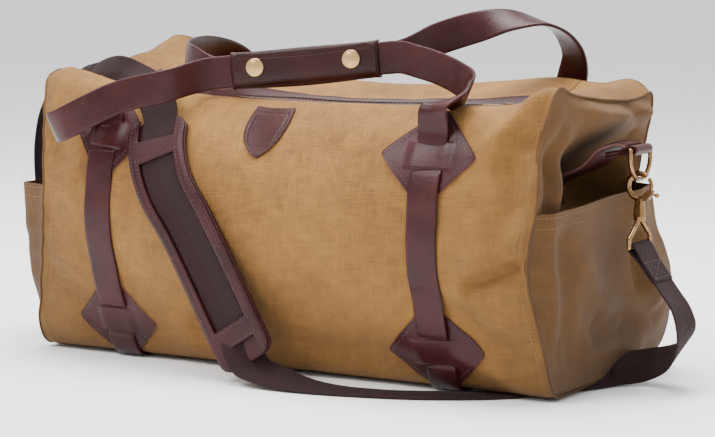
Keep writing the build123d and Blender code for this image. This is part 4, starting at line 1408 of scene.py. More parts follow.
@dataclass
class BodyStrap:
    """Leather strap up one side of the bag, woven through its two patches."""

    name: str
    sheet: Sheet
    patches: list[Patch]
    x: float
    width: float = 0.032
    thickness: float = 0.0030
    bow: float = 0.0

    def build(self, finishes: Finishes) -> bpy.types.Object:
        """Build the strap from under the bag to the upper patch."""
        lower, upper = self.patches
        end = upper.middle + 0.006
        v = np.arange(0.001, end, 0.0016)
        over = 0.0004 + upper.thickness + self.thickness / 2 + 0.0004
        lift = np.full_like(v, 0.0026)
        for patch in self.patches:
            on_patch = smooth(patch.half + 0.012 - np.abs(v - patch.middle), 0.0, 0.036)
            lift = np.maximum(lift, 0.0026 + on_patch * (over - 0.0026))
        for patch in self.patches:
            gap = np.abs(v - patch.middle)
            under = 1 - smooth(gap, patch.bridge_height / 2 + 0.0004, patch.bridge_height / 2 + 0.0060)
            lift = lift * (1 - under) + 0.0008 * under
        lift *= 0.35 + 0.65 * smooth(v, 0.0, 0.012)
        sway = self.bow * np.sin(math.pi * smooth(v, lower.middle, upper.middle))
        points, ways = self.sheet.at(self.x + sway, v)
        centres = points + ways * lift[:, None]
        side = np.tile(np.array([1.0, 0.0, 0.0]), (len(v), 1))
        facing = -1 if self.sheet.points[0, 0, 1] < 0 else 1
        ribbon = Ribbon(self.name, centres, side * -facing, self.width, self.thickness)
        return dress(ribbon.build(), finishes.trim)


@dataclass
class Badge:
    """Shield of leather sewn to the front, left bare."""

    sheet: Sheet
    finishes: Finishes
    x: float = 0.0
    height: float = 0.2395
    width: float = 0.0475
    tall: float = 0.060
    thickness: float = 0.0022

    WIDTHS = (
        (0.0, 0.02), (0.05, 0.24), (0.15, 0.52), (0.30, 0.82), (0.50, 0.97), (0.66, 1.0),
        (0.85, 0.955), (1.0, 0.90),
    )

    def outline(self, share: Array, scale: float = 1.0) -> Array:
        """Half width of the shield at a share of its height."""
        return table(share, self.WIDTHS) * self.width / 2 * scale

    def build(self) -> list[bpy.types.Object]:
        """Build the shield and its stitches."""
        middle = self.sheet.height_place(self.x, self.height)
        side, up = np.linspace(-1, 1, 41), np.linspace(0, 1, 49)
        s, t = np.meshgrid(side, up, indexing="ij")
        du = s * self.outline(t)
        dv = (t - 0.5) * self.tall + 0.0016 * (1 - s * s) * smooth(t, 0.8, 1.0) * -1
        inner = np.minimum(1 - np.abs(s), np.minimum(t * 1.1, (1 - t) * 1.3))
        groove = -0.0005 * bell(inner, 0.20, 0.028)
        lift = 0.0004 + self.thickness * (0.75 + 0.25 * smooth(inner, 0.0, 0.05)) + groove
        points, ways = self.sheet.at((self.x + du).ravel(), (middle + dv).ravel())
        points = (points + ways * lift.ravel()[:, None]).reshape(*s.shape, 3)
        face = Sheet(points, side * self.width / 2, up * self.tall, outside=self.sheet.outside)
        shield = face.build("badge_shield", self.thickness * 0.8)
        cut_edges(shield, 2 * 40 * 48, self.finishes, self.finishes.badge)
        t = np.linspace(0.07, 0.955, 40)
        left = -self.outline(t, 0.86)
        ring_u = np.concatenate([left, -left[::-1], left[:1]])
        ring_v = np.concatenate([t, t[::-1], t[:1]])
        points, ways = self.sheet.at(self.x + ring_u, middle + (ring_v - 0.5) * self.tall)
        row = points + ways * (0.0004 + self.thickness)
        stitcher = Stitcher(pitch=0.0030, length=0.0021, radius=0.0004)
        stitches = stitcher.sew("badge_stitches", [row], self.finishes.thread, Slot.BADGE)
        return [shield, stitches]


@dataclass
class Trim:
    """Leather on the bag's faces and under it: straps, patches and badge."""

    shell: Shell
    finishes: Finishes
    strap_x: float = 0.188
    lower: float = 0.0415

    UPPER = {End.LEFT: 0.229, End.RIGHT: 0.2245}
    BOW = {End.LEFT: -0.004, End.RIGHT: 0.0}

    def build(self) -> None:
        """Build the trim and hang it on the bag."""
        rows: list[Array] = []
        for face in Face:
            side = face.name.lower()
            sheet = self.shell.sheets[side]
            for end in End:
                x = end.value * self.strap_x
                label = f"{side}_{end.name.lower()}"
                patches = [
                    Patch(f"{label}_lower", sheet, x, self.lower, self.finishes),
                    Patch(f"{label}_upper", sheet, x, self.UPPER[end], self.finishes),
                ]
                for patch, row in zip(patches, ("lower", "upper")):
                    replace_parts(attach(patch.build(), "bag"), f"{side}_{row}_patches")
                    rows += patch.stitch_rows()
                leather = BodyStrap(f"{label}_strap_leather", sheet, patches, x, bow=self.BOW[end])
                strap = leather.build(self.finishes)
                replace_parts(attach(strap, "bag"), f"{label}_strap")
        stitcher = Stitcher()
        stitches = stitcher.sew("patch_stitches", rows, self.finishes.thread, Slot.TRIM)
        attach(stitches, "bag")
        for piece in Badge(self.shell.sheets["front"], self.finishes).build():
            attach(piece, "bag")
            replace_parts(piece, "badge")
        for end in End:
            x = end.value * self.strap_x
            y = np.linspace(-0.0925, 0.0925, 40)
            centres = np.stack([np.full_like(y, x), y, np.full_like(y, 0.0016)], axis=1)
            side = np.tile(np.array([-1.0, 0.0, 0.0]), (40, 1))
            base = Ribbon(f"{end.name.lower()}_base_strap", centres, side, 0.032, 0.0030, crown=0.0).build()
            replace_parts(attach(dress(base, self.finishes.trim), "bag"), "base_straps")
        log.info("straps, patches and badge")


# ---- handles and grip ------------------------------------------------------------------
def placed(points: Sequence[tuple[float, ...]]) -> Array:
    """Points given in millimetres, in metres."""
    return np.array(points, float) / 1000.0


@dataclass
class Grip:
    """Leather wrap that joins the two handles, with its snapped flap."""

    finishes: Finishes
    centre: Point = (0.006, -0.070, 0.301)
    yaw: float = 17.5
    pitch: float = -5.5
    length: float = 0.150
    height: float = 0.038
    depth: float = 0.0130
    flap: float = 0.0022
    snap_gap: float = 0.098
    snap_up: float = 0.002

    @property
    def frame(self) -> Matrix:
        """Place of the grip: X along it, Y through it, Z up it."""
        turn = Matrix.Rotation(math.radians(self.yaw), 4, "Z")
        turn = turn @ Matrix.Rotation(math.radians(self.pitch), 4, "Y")
        return Matrix.Translation(Vector(self.centre)) @ turn

    def out(self, points: Array) -> Array:
        """Points from the grip's own frame to the bag's."""
        m = np.array(self.frame)
        return points @ m[:3, :3].T + m[:3, 3]

    def wrap(self) -> bpy.types.Object:
        """Sleeve round the handles, open at its ends."""
        stations, turns = 60, 56
        count = stations * turns
        x = np.linspace(-self.length / 2, self.length / 2, stations)
        angle = np.linspace(0, 2 * math.pi, turns, endpoint=False)
        c, s = np.cos(angle), np.sin(angle)
        y0 = np.sign(s) * np.abs(s) ** 0.42 * self.depth / 2
        z0 = np.sign(c) * np.abs(c) ** 0.62 * self.height / 2
        share = np.abs(x) / (self.length / 2)
        pinch = 1 - 0.05 * smooth(share, 0.0, 0.9) + 0.03 * smooth(share, 0.93, 1.0)
        sag = -0.0012 * (1 - share**2)
        rings = []
        for wall in (0.0, 0.0022):
            deep, tall = (np.sign(a) * np.maximum(np.abs(a) - wall, 0.0) for a in (y0, z0))
            ring = np.zeros((stations, turns, 3))
            ring[..., 0] = x[:, None]
            ring[..., 1] = deep[None, :]
            ring[..., 2] = tall[None, :] * pinch[:, None] + sag[:, None]
            rings.append(ring)
        points = self.out(np.concatenate([r.reshape(-1, 3) for r in rings]))
        faces = grid_faces(stations, turns, closed=True)
        faces += flipped(grid_faces(stations, turns, closed=True, first=count))
        for row in (0, stations - 1):
            a = row * turns
            for k in range(turns):
                d = (k + 1) % turns
                quad = (a + k, a + d, count + a + d, count + a + k)
                faces.append(quad if row else tuple(reversed(quad)))
        run = np.concatenate([lengths(np.stack([y0, z0], axis=1))] * (2 * stations))
        uv = np.stack([np.concatenate([np.repeat(x, turns)] * 2), run], axis=1)
        return make_object("grip_sleeve", tidy_normals(make_mesh("grip_sleeve", points, faces, uv)))

    def flap_surface(self, u: Array, t: Array) -> Array:
        """Points on the flap, t from its fold at the bottom to its free edge.

        Args:
            u: Places along the grip, from -1 to 1.
            t: Share of the way up, from 0 to 1.

        Returns:
            Points in the grip's own frame.
        """
        half = self.length / 2 - 0.002
        top = self.height / 2 - 0.0035 + 0.0018 * (np.abs(u) ** 2 * 2 - 1)
        corner = 0.008 * (1 - np.sqrt(np.clip(1 - (np.maximum(np.abs(u) - 0.86, 0) / 0.14) ** 2, 0, 1)))
        low = -self.height / 2 + 0.0012
        z = low + (top - corner - low) * t
        y = -(self.depth / 2 + 0.0003 + self.flap + 0.0008 * np.sin(math.pi * t) + 0.0006 * np.cos(3 * u))
        y = y + 0.0042 * (1 - t) ** 8
        return np.stack([u * half, y, z], axis=-1)

    def flap_piece(self) -> bpy.types.Object:
        """Flap over the wrap, held by two snaps."""
        u, t = np.linspace(-1, 1, 90), np.linspace(0, 1, 30)
        grid = self.flap_surface(*np.meshgrid(u, t, indexing="ij"))
        points = self.out(grid.reshape(-1, 3)).reshape(grid.shape)
        sheet = Sheet(points, u * self.length / 2, t * self.height, outside=1.0)
        piece = sheet.build("grip_flap_leather", self.flap)
        return cut_edges(piece, 2 * 89 * 29, self.finishes, self.finishes.grip)

    def cap(self, x: float, name: str) -> bpy.types.Object:
        """Domed snap cap with a rolled rim."""
        profile = ((0.0, 0.0030), (0.0030, 0.00295), (0.0055, 0.0026), (0.0070, 0.0020), (0.0078, 0.0017),
                   (0.0086, 0.0018), (0.0091, 0.0012), (0.0090, 0.0003), (0.0082, 0.0))
        turns = 40
        rings = [np.array([[0.0, -profile[0][1], 0.0]])]
        for radius, rise in profile[1:]:
            a = np.linspace(0, 2 * math.pi, turns, endpoint=False)
            rings.append(np.stack([radius * np.cos(a), np.full(turns, -rise), radius * np.sin(a)], axis=1))
        rings.append(np.array([[0.0, 0.0, 0.0]]))
        points = np.concatenate(rings)
        faces: list[tuple[int, ...]] = [(0, 1 + k, 1 + (k + 1) % turns) for k in range(turns)]
        faces += grid_faces(len(profile) - 1, turns, closed=True, first=1)
        last = len(points) - 1
        faces += [(last, last - turns + (k + 1) % turns, last - turns + k) for k in range(turns)]
        face_y = -(self.depth / 2 + 0.0003 + self.flap + 0.0008)
        points = points + np.array([x, face_y, self.snap_up])
        return make_object(name, tidy_normals(make_mesh(name, self.out(points), faces)))

    def build(self) -> None:
        """Build the grip's pieces and hang them on their bodies."""
        wrap = dress(self.wrap(), self.finishes.grip)
        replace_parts(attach(wrap, "grip"), "grip_wrap")
        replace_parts(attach(self.flap_piece(), "flap"), "grip_flap")
        for sign, name in ((-1, "left_snap_cap"), (1, "right_snap_cap")):
            cap = dress(self.cap(sign * self.snap_gap / 2, name), self.finishes.cap)
            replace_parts(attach(cap, "flap"), "snap_caps")
        u = np.linspace(-0.93, 0.93, 60)
        top = self.flap_surface(u, np.full_like(u, 0.86)) + np.array([0.0, -0.0003, 0.0])
        stitcher = Stitcher(pitch=0.0036, length=0.0026, radius=0.0004)
        stitches = stitcher.sew("flap_stitches", [self.out(top)], self.finishes.thread, Slot.HANDLE)
        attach(stitches, "flap")
        log.info("grip")


@dataclass
class Handles:
    """Four ends of the two handle straps, from the patches to the grip."""

    grip: Grip
    trim_sheets: dict[str, Sheet]
    finishes: Finishes
    strap_x: float = 0.188
    width: float = 0.032
    thickness: float = 0.0032

    ROUTES = {
        "front_left": (
            ((-203, -146, 250), (0.75, 0.1, 0.65)),
            ((-214, -156, 244), (0.25, -0.1, 0.95)),
            ((-224, -167, 239), (-0.2, -0.2, 0.95)),
            ((-224, -178, 237), (-0.32, -0.2, 0.93)),
            ((-206, -188, 241), (-0.30, -0.15, 0.94)),
            ((-179, -184, 254), (-0.2, -0.1, 0.97)),
            ((-150, -169, 269), (-0.1, 0.0, 1.0)),
            ((-111, -143, 280), (0.1, 0.0, 1.0)),
        ),
        "front_right": (
            ((192, -134, 270), (0.98, -0.18, 0.06)),
            ((198, -123, 275), (0.82, -0.55, 0.14)),
            ((201, -111, 277), (0.60, -0.70, 0.38)),
            ((200, -98, 278), (0.50, -0.38, 0.76)),
            ((197, -84, 281), (0.44, -0.04, 0.88)),
            ((190, -71, 286), (0.30, 0.08, 0.95)),
            ((175, -62, 292), (0.15, 0.05, 0.99)),
            ((149, -53, 300), (0.0, 0.0, 1.0)),
            ((122, -48, 306), (0.0, 0.0, 1.0)),
        ),
        "back_left": (
            ((-186, 118, 282), (0.9, 0.2, 0.1)),
            ((-190, 84, 299), (0.5, 0.8, 0.3)),
            ((-188, 36, 307), (0.2, 0.5, 0.8)),
            ((-172, -18, 306), (0.1, 0.1, 1.0)),
            ((-145, -60, 304), (0.1, 0.0, 1.0)),
            ((-118, -87, 302), (0.1, 0.0, 1.0)),
        ),
        "back_right": (
            ((196, 128, 284), (-1.0, -0.1, 0.0)),
            ((203, 120, 303), (-0.95, 0.3, -0.05)),
            ((204, 108, 319), (-0.87, 0.48, -0.1)),
            ((201, 95, 331), (-0.72, 0.68, -0.1)),
            ((192, 77, 341), (-0.53, 0.84, 0.0)),
            ((171, 51, 345), (-0.3, 0.75, 0.5)),
            ((142, 22, 337), (-0.1, 0.3, 0.9)),
            ((116, -4, 326), (0.0, 0.0, 1.0)),
        ),
    }

    LONG = ((0.009, 0.0021), (0.019, 0.0050), (0.030, 0.0062), (0.042, 0.0078))
    SHORT = ((0.007, 0.0021), (0.0155, 0.0046), (0.022, 0.0085))

    def start(self, face: Face, end: End) -> tuple[Array, Array]:
        """First stations, out of the upper slot of the patch and up over it."""
        sheet = self.trim_sheets[face.name.lower()]
        x = end.value * self.strap_x
        middle = sheet.height_place(x, Trim.UPPER[end])
        rises = self.LONG
        if face is Face.FRONT:
            rises = self.SHORT if end is End.LEFT else self.LONG[:2]
        v = np.array([middle + rise for rise, _ in rises])
        points, ways = sheet.at(np.full(len(rises), x), v)
        centres = points + ways * np.array([lift for _, lift in rises])[:, None]
        turn = -1.0 if (face, end) == (Face.BACK, End.RIGHT) else 1.0
        return centres, np.tile(np.array([turn, 0.0, 0.0]), (len(rises), 1))

    def finish_stations(self, face: Face, end: End) -> tuple[Array, Array]:
        """Last stations, straight into the grip."""
        y = face.value * 0.0021
        half = self.grip.length / 2
        places = np.array([(end.value * (half + ahead), y, 0.0) for ahead in (0.018, 0.002, -0.074)])
        up = np.array(self.grip.frame)[:3, 2]
        return self.grip.out(places), np.tile(up, (3, 1))

    def build(self) -> None:
        """Build the four straps and bend each between the bag and the grip."""
        for face in Face:
            for end in End:
                name = f"{face.name.lower()}_{end.name.lower()}"
                first, first_side = self.start(face, end)
                last, last_side = self.finish_stations(face, end)
                route = self.ROUTES[name]
                middle = placed([point for point, _ in route])
                sides = np.array([side for _, side in route], float)
                points = np.concatenate([first, middle, last])
                across = unit(np.concatenate([first_side, sides, last_side]))
                line, turned = through(points, 14, across)
                line, turned = resample(line, 160, turned)
                ribbon = Ribbon(name + "_handle_strap", line, turned, self.width, self.thickness)
                piece = dress(ribbon.build(), self.finishes.trim)
                node = f"{face.name.lower()}_handle_{end.name.lower()}"
                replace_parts(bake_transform(piece), node, "handle_cores")
        log.info("handles")


# ---- zip ----------------------------------------------------------------------------------
@dataclass
class Zip:
    """Leather facings, tapes and end tabs of the zip; its teeth and slider come with the frame."""

    shell: Shell
    finishes: Finishes
    reach: float = 0.2060
    tape_z: float = 0.25920

    def facing(self, face: Face) -> None:
        """Leather strip sewn on the mouth flap beside the teeth."""
        side, sign = face.name.lower(), face.value
        cloth = self.shell.sheets["flap_" + side]
        across = np.linspace(-self.reach, self.reach, 110)
        along = np.linspace(0.0078, 0.0310, 10)
        u, v = np.meshgrid(across, along * sign, indexing="ij")
        points, ways = cloth.at(u.ravel(), v.ravel())
        sheet = Sheet((points + ways * 0.0022).reshape(*u.shape, 3), across, along, outside=float(sign))
        piece = sheet.build(side + "_facing_leather", 0.0018)
        cut_edges(piece, 2 * 109 * 9, self.finishes, self.finishes.trim)
        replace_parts(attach(piece, side + "_mouth"), side + "_zip_facing")
        rows = []
        for y in (0.0098, 0.0288):
            points, ways = sheet.at(across, np.full_like(across, y))
            rows.append(points + ways * 0.0001)
        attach(Stitcher().sew(side + "_facing_stitches", rows, self.finishes.thread, Slot.TRIM), side + "_mouth")
        y = np.linspace(0.0034, 0.0150, 6)
        u, v = np.meshgrid(across, y * sign, indexing="ij")
        flat = np.stack([u, v, np.full_like(u, self.tape_z)], axis=-1)
        tape = Sheet(flat, across, y, outside=float(sign)).build(side + "_tape_cloth", 0.0010)
        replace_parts(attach(dress(tape, self.finishes.tape), side + "_mouth"), side + "_zip_tape")

    def end_tab(self, end: End) -> None:
        """Leather tab over one end of the zip."""
        sign = end.value
        low, high = sorted((sign * 0.2072, sign * 0.2375))
        cloth = self.shell.top((low, high), (-0.017, 0.017), 24)
        lift = 0.0034 + 0.0006 * smooth(0.017 - np.abs(cloth.along), 0.0, 0.003)[None, :] * np.ones((24, 1))
        cloth.push(lift)
        cloth.across = cloth.across - low
        tab = cloth.build(end.name.lower() + "_zip_tab", 0.0024)
        cut_edges(tab, 2 * 23 * 59, self.finishes, self.finishes.trim)
        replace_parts(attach(tab, "bag"), "zip_end_tabs")
        a, b = 0.003, 0.0273
        corners = [(a, -0.014), (b, -0.014), (b, 0.014), (a, 0.014), (a, -0.014)]
        sides = [np.linspace(p, q, 12)[:-1] for p, q in zip(corners, corners[1:])]
        run = np.concatenate(sides + [np.array([corners[0]])])
        points, ways = cloth.at(run[:, 0], run[:, 1])
        name = end.name.lower() + "_tab_stitches"
        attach(Stitcher().sew(name, [points + ways * 0.0001], self.finishes.thread, Slot.TRIM), "bag")

    def build(self) -> None:
        """Build the zip's leather and tapes."""
        for face in Face:
            self.facing(face)
        for end in End:
            self.end_tab(end)
        log.info("zip")


# ---- fittings at the ends ----------------------------------------------------------------
def round_bar(tail: Array, centre: Array, radius: float, half: float) -> Array:
    """Line of a strap doubled round a bar, in a plane of constant Y.

    Args:
        tail: Where the two layers end.
        centre: Middle of the bar.
        radius: From the bar's middle to the strap's middle.
        half: Half the gap between the middles of the two layers at the tail.

    Returns:
        Points from the upper layer's tail, round the bar, to the lower one's.
    """
    way = unit(centre - tail)
    up = np.array([-way[2], 0.0, way[0]])
    up = up if up[2] > 0 else -up
    length = float(np.linalg.norm(centre - tail))
    run = np.linspace(0.0, length, 24)[:-1]
    gap = half + (radius - half) * smooth(run / length, 0.45, 1.0)
    upper = tail + way * run[:, None] + up * gap[:, None]
    angle = np.linspace(0.0, math.pi, 22)[:, None]
    arc = centre + radius * (np.cos(angle) * up + np.sin(angle) * way)
    lower = tail + way * run[::-1, None] - up * gap[::-1, None]
    return np.concatenate([upper, arc, lower])


@dataclass
class EndFitting:
    """Leather tab on the end of the bag, doubled round the bar of the D-ring."""

    shell: Shell
    finishes: Finishes
    end: End
    bar_x: float = 0.335
    bar_z: float = 0.228
    foot_z: float = 0.166

    BEND = ((0.289, 0.2155), (0.309, 0.2335), (0.320, 0.2355))

    def backing(self, sheet: Sheet, side: str) -> None:
        """Leather sewn to the canvas behind the tab, in the darkest leather, which also stands for painted shadow in
        the hollow behind the tab.
        """
        u = np.linspace(-0.031, 0.031, 40)
        v = np.linspace(sheet.height_place(0.0, 0.150), sheet.height_place(0.0, 0.203), 40)
        places = np.meshgrid(u, v, indexing="ij")
        points, ways = sheet.at(places[0].ravel(), places[1].ravel())
        points = (points + ways * 0.0021).reshape(40, 40, 3)
        piece = Sheet(points, u, v, outside=sheet.outside).build(side + "_end_backing", 0.0017)
        # The grip's dark leather here is partly the backing's own colour and partly painted shadow of the hollow.
        cut_edges(piece, 2 * 39 * 39, self.finishes, self.finishes.grip)
        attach(piece, "bag")

    def build(self) -> None:
        """Build the tab, the chape in it and their stitches."""
        sign, side = self.end.value, self.end.name.lower()
        sheet = self.shell.sheets[side + "_end"]
        self.backing(sheet, side)
        heights = (self.foot_z, self.foot_z + 0.010)
        v = np.array([sheet.height_place(0.0, z) for z in heights])
        foot, ways = sheet.at(np.zeros(2), v)
        foot = foot + ways * np.array([0.0044, 0.0050])[:, None]
        foot[:, 1] = 0.0
        bar = np.array([sign * self.bar_x, 0.0, self.bar_z])
        top = bar + np.array([-sign * 0.0060, 0.0, 0.0050])
        bend = np.array([[sign * x, 0.0, z] for x, z in self.BEND])
        line = through(np.concatenate([foot, bend, top[None]]), 14)[0]
        line = resample(line, 60)[0]
        share = np.linspace(0.0, 1.0, 60)
        half = 0.026 - 0.0085 * smooth(share, 0.74, 0.97)
        half = half * (0.62 + 0.38 * smooth(share, 0.0, 0.12))
        cross = np.linspace(-1.0, 1.0, 26)
        points = np.tile(line[None], (26, 1, 1))
        points[..., 1] += cross[:, None] * half[None]
        droop = smooth(share, 0.3, 0.8) * (1 - smooth(share, 0.85, 1.0))
        points[..., 2] -= 0.0022 * (cross[:, None] ** 2) * droop[None]
        tab = Sheet(points, cross * 0.026, lengths(line), outside=-float(sign))
        piece = tab.build(side + "_end_tab", 0.0028)
        cut_edges(piece, 2 * 25 * 59, self.finishes, self.finishes.trim)
        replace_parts(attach(piece, "bag"), "end_patches")
        tail = bar + np.array([-sign * 0.028, 0.0, -0.0055])
        path = round_bar(tail, bar, 0.0037, 0.0015)
        sides = np.tile(np.array([0.0, -float(sign), 0.0]), (len(path), 1))
        chape = Ribbon(side + "_chape_leather", path, sides, 0.035, 0.0024, crown=0.0)
        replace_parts(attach(dress(chape.build(), self.finishes.trim), "bag"), "chapes")
        edge = 0.0235
        run = lengths(line)
        down = np.linspace(0.006, run[-1] - 0.004, 40)
        rows = []
        for turn in (-1, 1):
            width = np.interp(down, run, half) / 0.026
            points, ways = tab.at(turn * np.full(40, edge), down)
            points[:, 1] = turn * (width * 0.026 - 0.0028)
            rows.append(points + ways * 0.0002)
        for place in (0.20, 0.86):
            reach = float(np.interp(place, share, half)) - 0.0035
            u = np.linspace(-1, 1, 14) * 0.026 * reach / float(np.interp(place, share, half))
            points, ways = tab.at(u, np.full(14, place * run[-1]))
            rows.append(points + ways * 0.0002)
        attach(Stitcher().sew(side + "_end_tab_stitches", rows, self.finishes.thread, Slot.TRIM), "bag")
        log.info("%s end fitting", side)


# ---- shoulder strap -------------------------------------------------------------------------
def cut_sheet(
    name: str, points: Array, ways: Array, thickness: float, keep: Array, uv: Array
) -> bpy.types.Object:
    """Closed mesh over the kept cells of a grid, with a wall round every opening.

    Args:
        name: Name of the piece.
        points: Grid of outer points.
        ways: Outward direction at each point.
        thickness: Wall, measured inwards.
        keep: Whether each cell of the grid is leather.
        uv: Flat measure of each point.

    Returns:
        The object.
    """
    rows, columns = points.shape[:2]
    count = rows * columns
    faces: list[tuple[int, ...]] = []

    def number(r: int, c: int) -> int:
        """Vertex of the outer grid."""
        return r * columns + c

    for r in range(rows - 1):
        for c in range(columns - 1):
            if not keep[r, c]:
                continue
            a, b, d, e = number(r, c), number(r + 1, c), number(r + 1, c + 1), number(r, c + 1)
            faces.append((a, b, d, e))
            faces.append((e + count, d + count, b + count, a + count))
            around = ((r, c - 1, a, b), (r + 1, c, b, d), (r, c + 1, d, e), (r - 1, c, e, a))
            for rr, cc, p, q in around:
                inside = 0 <= rr < rows - 1 and 0 <= cc < columns - 1 and keep[rr, cc]
                if not inside:
                    faces.append((q, p, p + count, q + count))
    inner = points - ways * thickness
    everything = np.concatenate([points.reshape(-1, 3), inner.reshape(-1, 3)])
    used = np.unique(np.concatenate([np.array(f) for f in faces]))
    renumber = np.full(2 * count, -1)
    renumber[used] = np.arange(len(used))
    flat = np.concatenate([uv.reshape(-1, 2)] * 2)[used]
    faces = [tuple(int(renumber[k]) for k in f) for f in faces]
    return make_object(name, tidy_normals(make_mesh(name, everything[used], faces, flat)))


@dataclass
class ShoulderStrap:
    """Webbing from one snap hook over the bag, through its pad, to the other."""

    shell: Shell
    finishes: Finishes
    webbing: float = 0.038
    thick: float = 0.0022
    pad_width: float = 0.064
    lean: tuple[float, float, float] = (0.87, 0.0, 0.5)
    eye_x: float = 0.335
    eye_z: float = 0.13695
    fold: float = 0.0400
    fold_angle: float = -52.0

    OVER = (
        ((-304, -20, 281), (0.0, 0.8, 0.6)),
        ((-278, -26, 283), (0.0, 0.5, 0.87)),
        ((-253, -36, 284), (0.1, 0.3, 0.95)),
        ((-228, -46, 282), (0.35, 0.65, 0.65)),
        ((-200, -58, 281), (0.6, 0.75, 0.2)),
        ((-172, -78, 283), (0.75, 0.65, 0.0)),
        ((-151, -102, 280), (0.85, 0.5, 0.1)),
        ((-138, -124, 269), (0.88, 0.3, 0.25)),
    )
    PAD_TOP = ((-0.125, 0.240), (-0.115, 0.214), (-0.099, 0.184))
    PAD_LOW = ((-72, -165.5, 148), (-40, -169, 100), (-13, -171, 56), (9, -172, 21))
    FLOOR = (
        ((16.5, -172.6, 15.0), (0.5, 0.95, 0.32)),
        ((25, -173.5, 13.0), (0.25, 0.95, 0.35)),
        ((40, -173.8, 10.0), (0.12, 0.95, 0.32)),
        ((62, -172, 5.8), (0.05, 1.0, 0.16)),
        ((92, -167, 2.7), (-0.12, 1.0, 0.05)),
        ((135, -156, 1.3), (-0.38, 1.0, 0.0)),
        ((190, -134, 1.3), (-0.5, 1.0, 0.0)),
        ((244, -92, 1.3), (-0.7, 1.0, 0.02)),
        ((276, -38, 8), (-0.65, 0.7, 0.36)),
        ((300, 10, 14.5), (-0.45, 0.55, 0.70)),
    )
    LEFT = (
        ((-304, -20, 281), (0.0, 0.8, 0.6)),
        ((-324, -19, 279), (0.0, 0.9, 0.4)),
        ((-342, -18, 268), (0.0, 1.0, 0.2)),
        ((-357, -18, 243), (0.0, 1.0, 0.0)),
        ((-367, -17, 206), (0.0, 1.0, 0.0)),
        ((-370, -13, 158), (0.0, 1.0, 0.0)),
        ((-373, -7, 116), (0.0, 1.0, 0.0)),
        ((-373, -1, 94), (0.0, 1.0, 0.0)),
    )
    RISE = (
        ((300, 10, 14.5), (-0.45, 0.55, 0.70)),
        ((326, 33, 18), (-0.40, 0.60, 0.70)),
        ((352, 34, 27), (-0.25, 0.80, 0.50)),
        ((371, 23, 42), (-0.08, 0.95, 0.25)),
        ((380, 8, 62), (0.0, 1.0, 0.1)),
        ((376, 0.5, 84), (0.0, 1.0, 0.0)),
    )

    def pad_stations(self) -> tuple[Array, Array]:
        """Middle of the pad and its width's direction, from top to bottom."""
        sheet = self.shell.sheets["front"]
        x = np.array([p[0] for p in self.PAD_TOP])
        v = np.array([sheet.height_place(p[0], p[1]) for p in self.PAD_TOP])
        points, ways = sheet.at(x, v)
        up = np.cross(np.tile(np.array([1.0, 0.0, 0.0]), (3, 1)), ways)
        up = up * np.sign(up[:, 2:3])
        across = unit(np.array([[self.lean[0], 0, 0]]) + up * self.lean[2])
        low = placed(self.PAD_LOW)
        sides = np.tile(unit(np.array(self.lean)), (4, 1))
        return np.concatenate([points + ways * 0.0082, low]), np.concatenate([across, sides])

    @staticmethod
    def run(stations: Sequence[tuple[Point, Point]]) -> tuple[Array, Array]:
        """Stations in millimetres as points and directions in metres."""
        return placed([p for p, _ in stations]), unit(np.array([s for _, s in stations], float))

    def tip(self, sign: int, ahead: float = 0.0) -> Array:
        """End of the doubled webbing below a snap hook."""
        angle = math.radians(self.fold_angle)
        reach = self.fold + ahead
        x, z = self.eye_x + reach * math.cos(angle), self.eye_z + reach * math.sin(angle)
        return np.array([sign * x, 0.0, z])

    def webbing_ribbon(self, name: str, points: Array, sides: Array) -> Ribbon:
        """Smooth run of webbing through stations."""
        line, turned = through(points, 16, sides)
        count = max(24, int(lengths(line)[-1] / 0.0035))
        line, turned = resample(line, count, turned)
        return Ribbon(name, line, turned, self.webbing, self.thick, crown=0.05)

    def free_runs(self) -> None:
        """Webbing over the bag, through the pad and along the floor, and its two hanging ends."""
        over, over_sides = self.run(self.OVER)
        pad, pad_sides = self.pad_stations()
        floor, floor_sides = self.run(self.FLOOR)
        start = pad[0] + unit(pad[0] - pad[1]) * 0.012
        points = np.concatenate([over, start[None], pad[1:-1], floor])
        sides = np.concatenate([over_sides, pad_sides[:1], pad_sides[1:-1], floor_sides])
        main = self.webbing_ribbon("webbing_over_bag", points, sides)
        piece = dress(main.build(), self.finishes.webbing)
        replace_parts(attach(piece, "bag"), "strap_over_top", "strap_in_pad", "strap_floor_run")
        hanging = (self.LEFT, -1, "left", "strap_left_loop"), (self.RISE, 1, "right", "strap_right_rise")
        for stations, sign, side, node in hanging:
            points, sides = self.run(stations)
            last = np.stack([self.tip(sign, 0.012), self.tip(sign, -0.004)])
            points = np.concatenate([points, last])
            sides = np.concatenate([sides, np.tile(np.array([0.0, 1.0, 0.0]), (2, 1))])
            ribbon = self.webbing_ribbon(f"{side}_webbing_end", points, sides)
            piece = dress(ribbon.build(), self.finishes.webbing)
            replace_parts(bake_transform(piece), node)

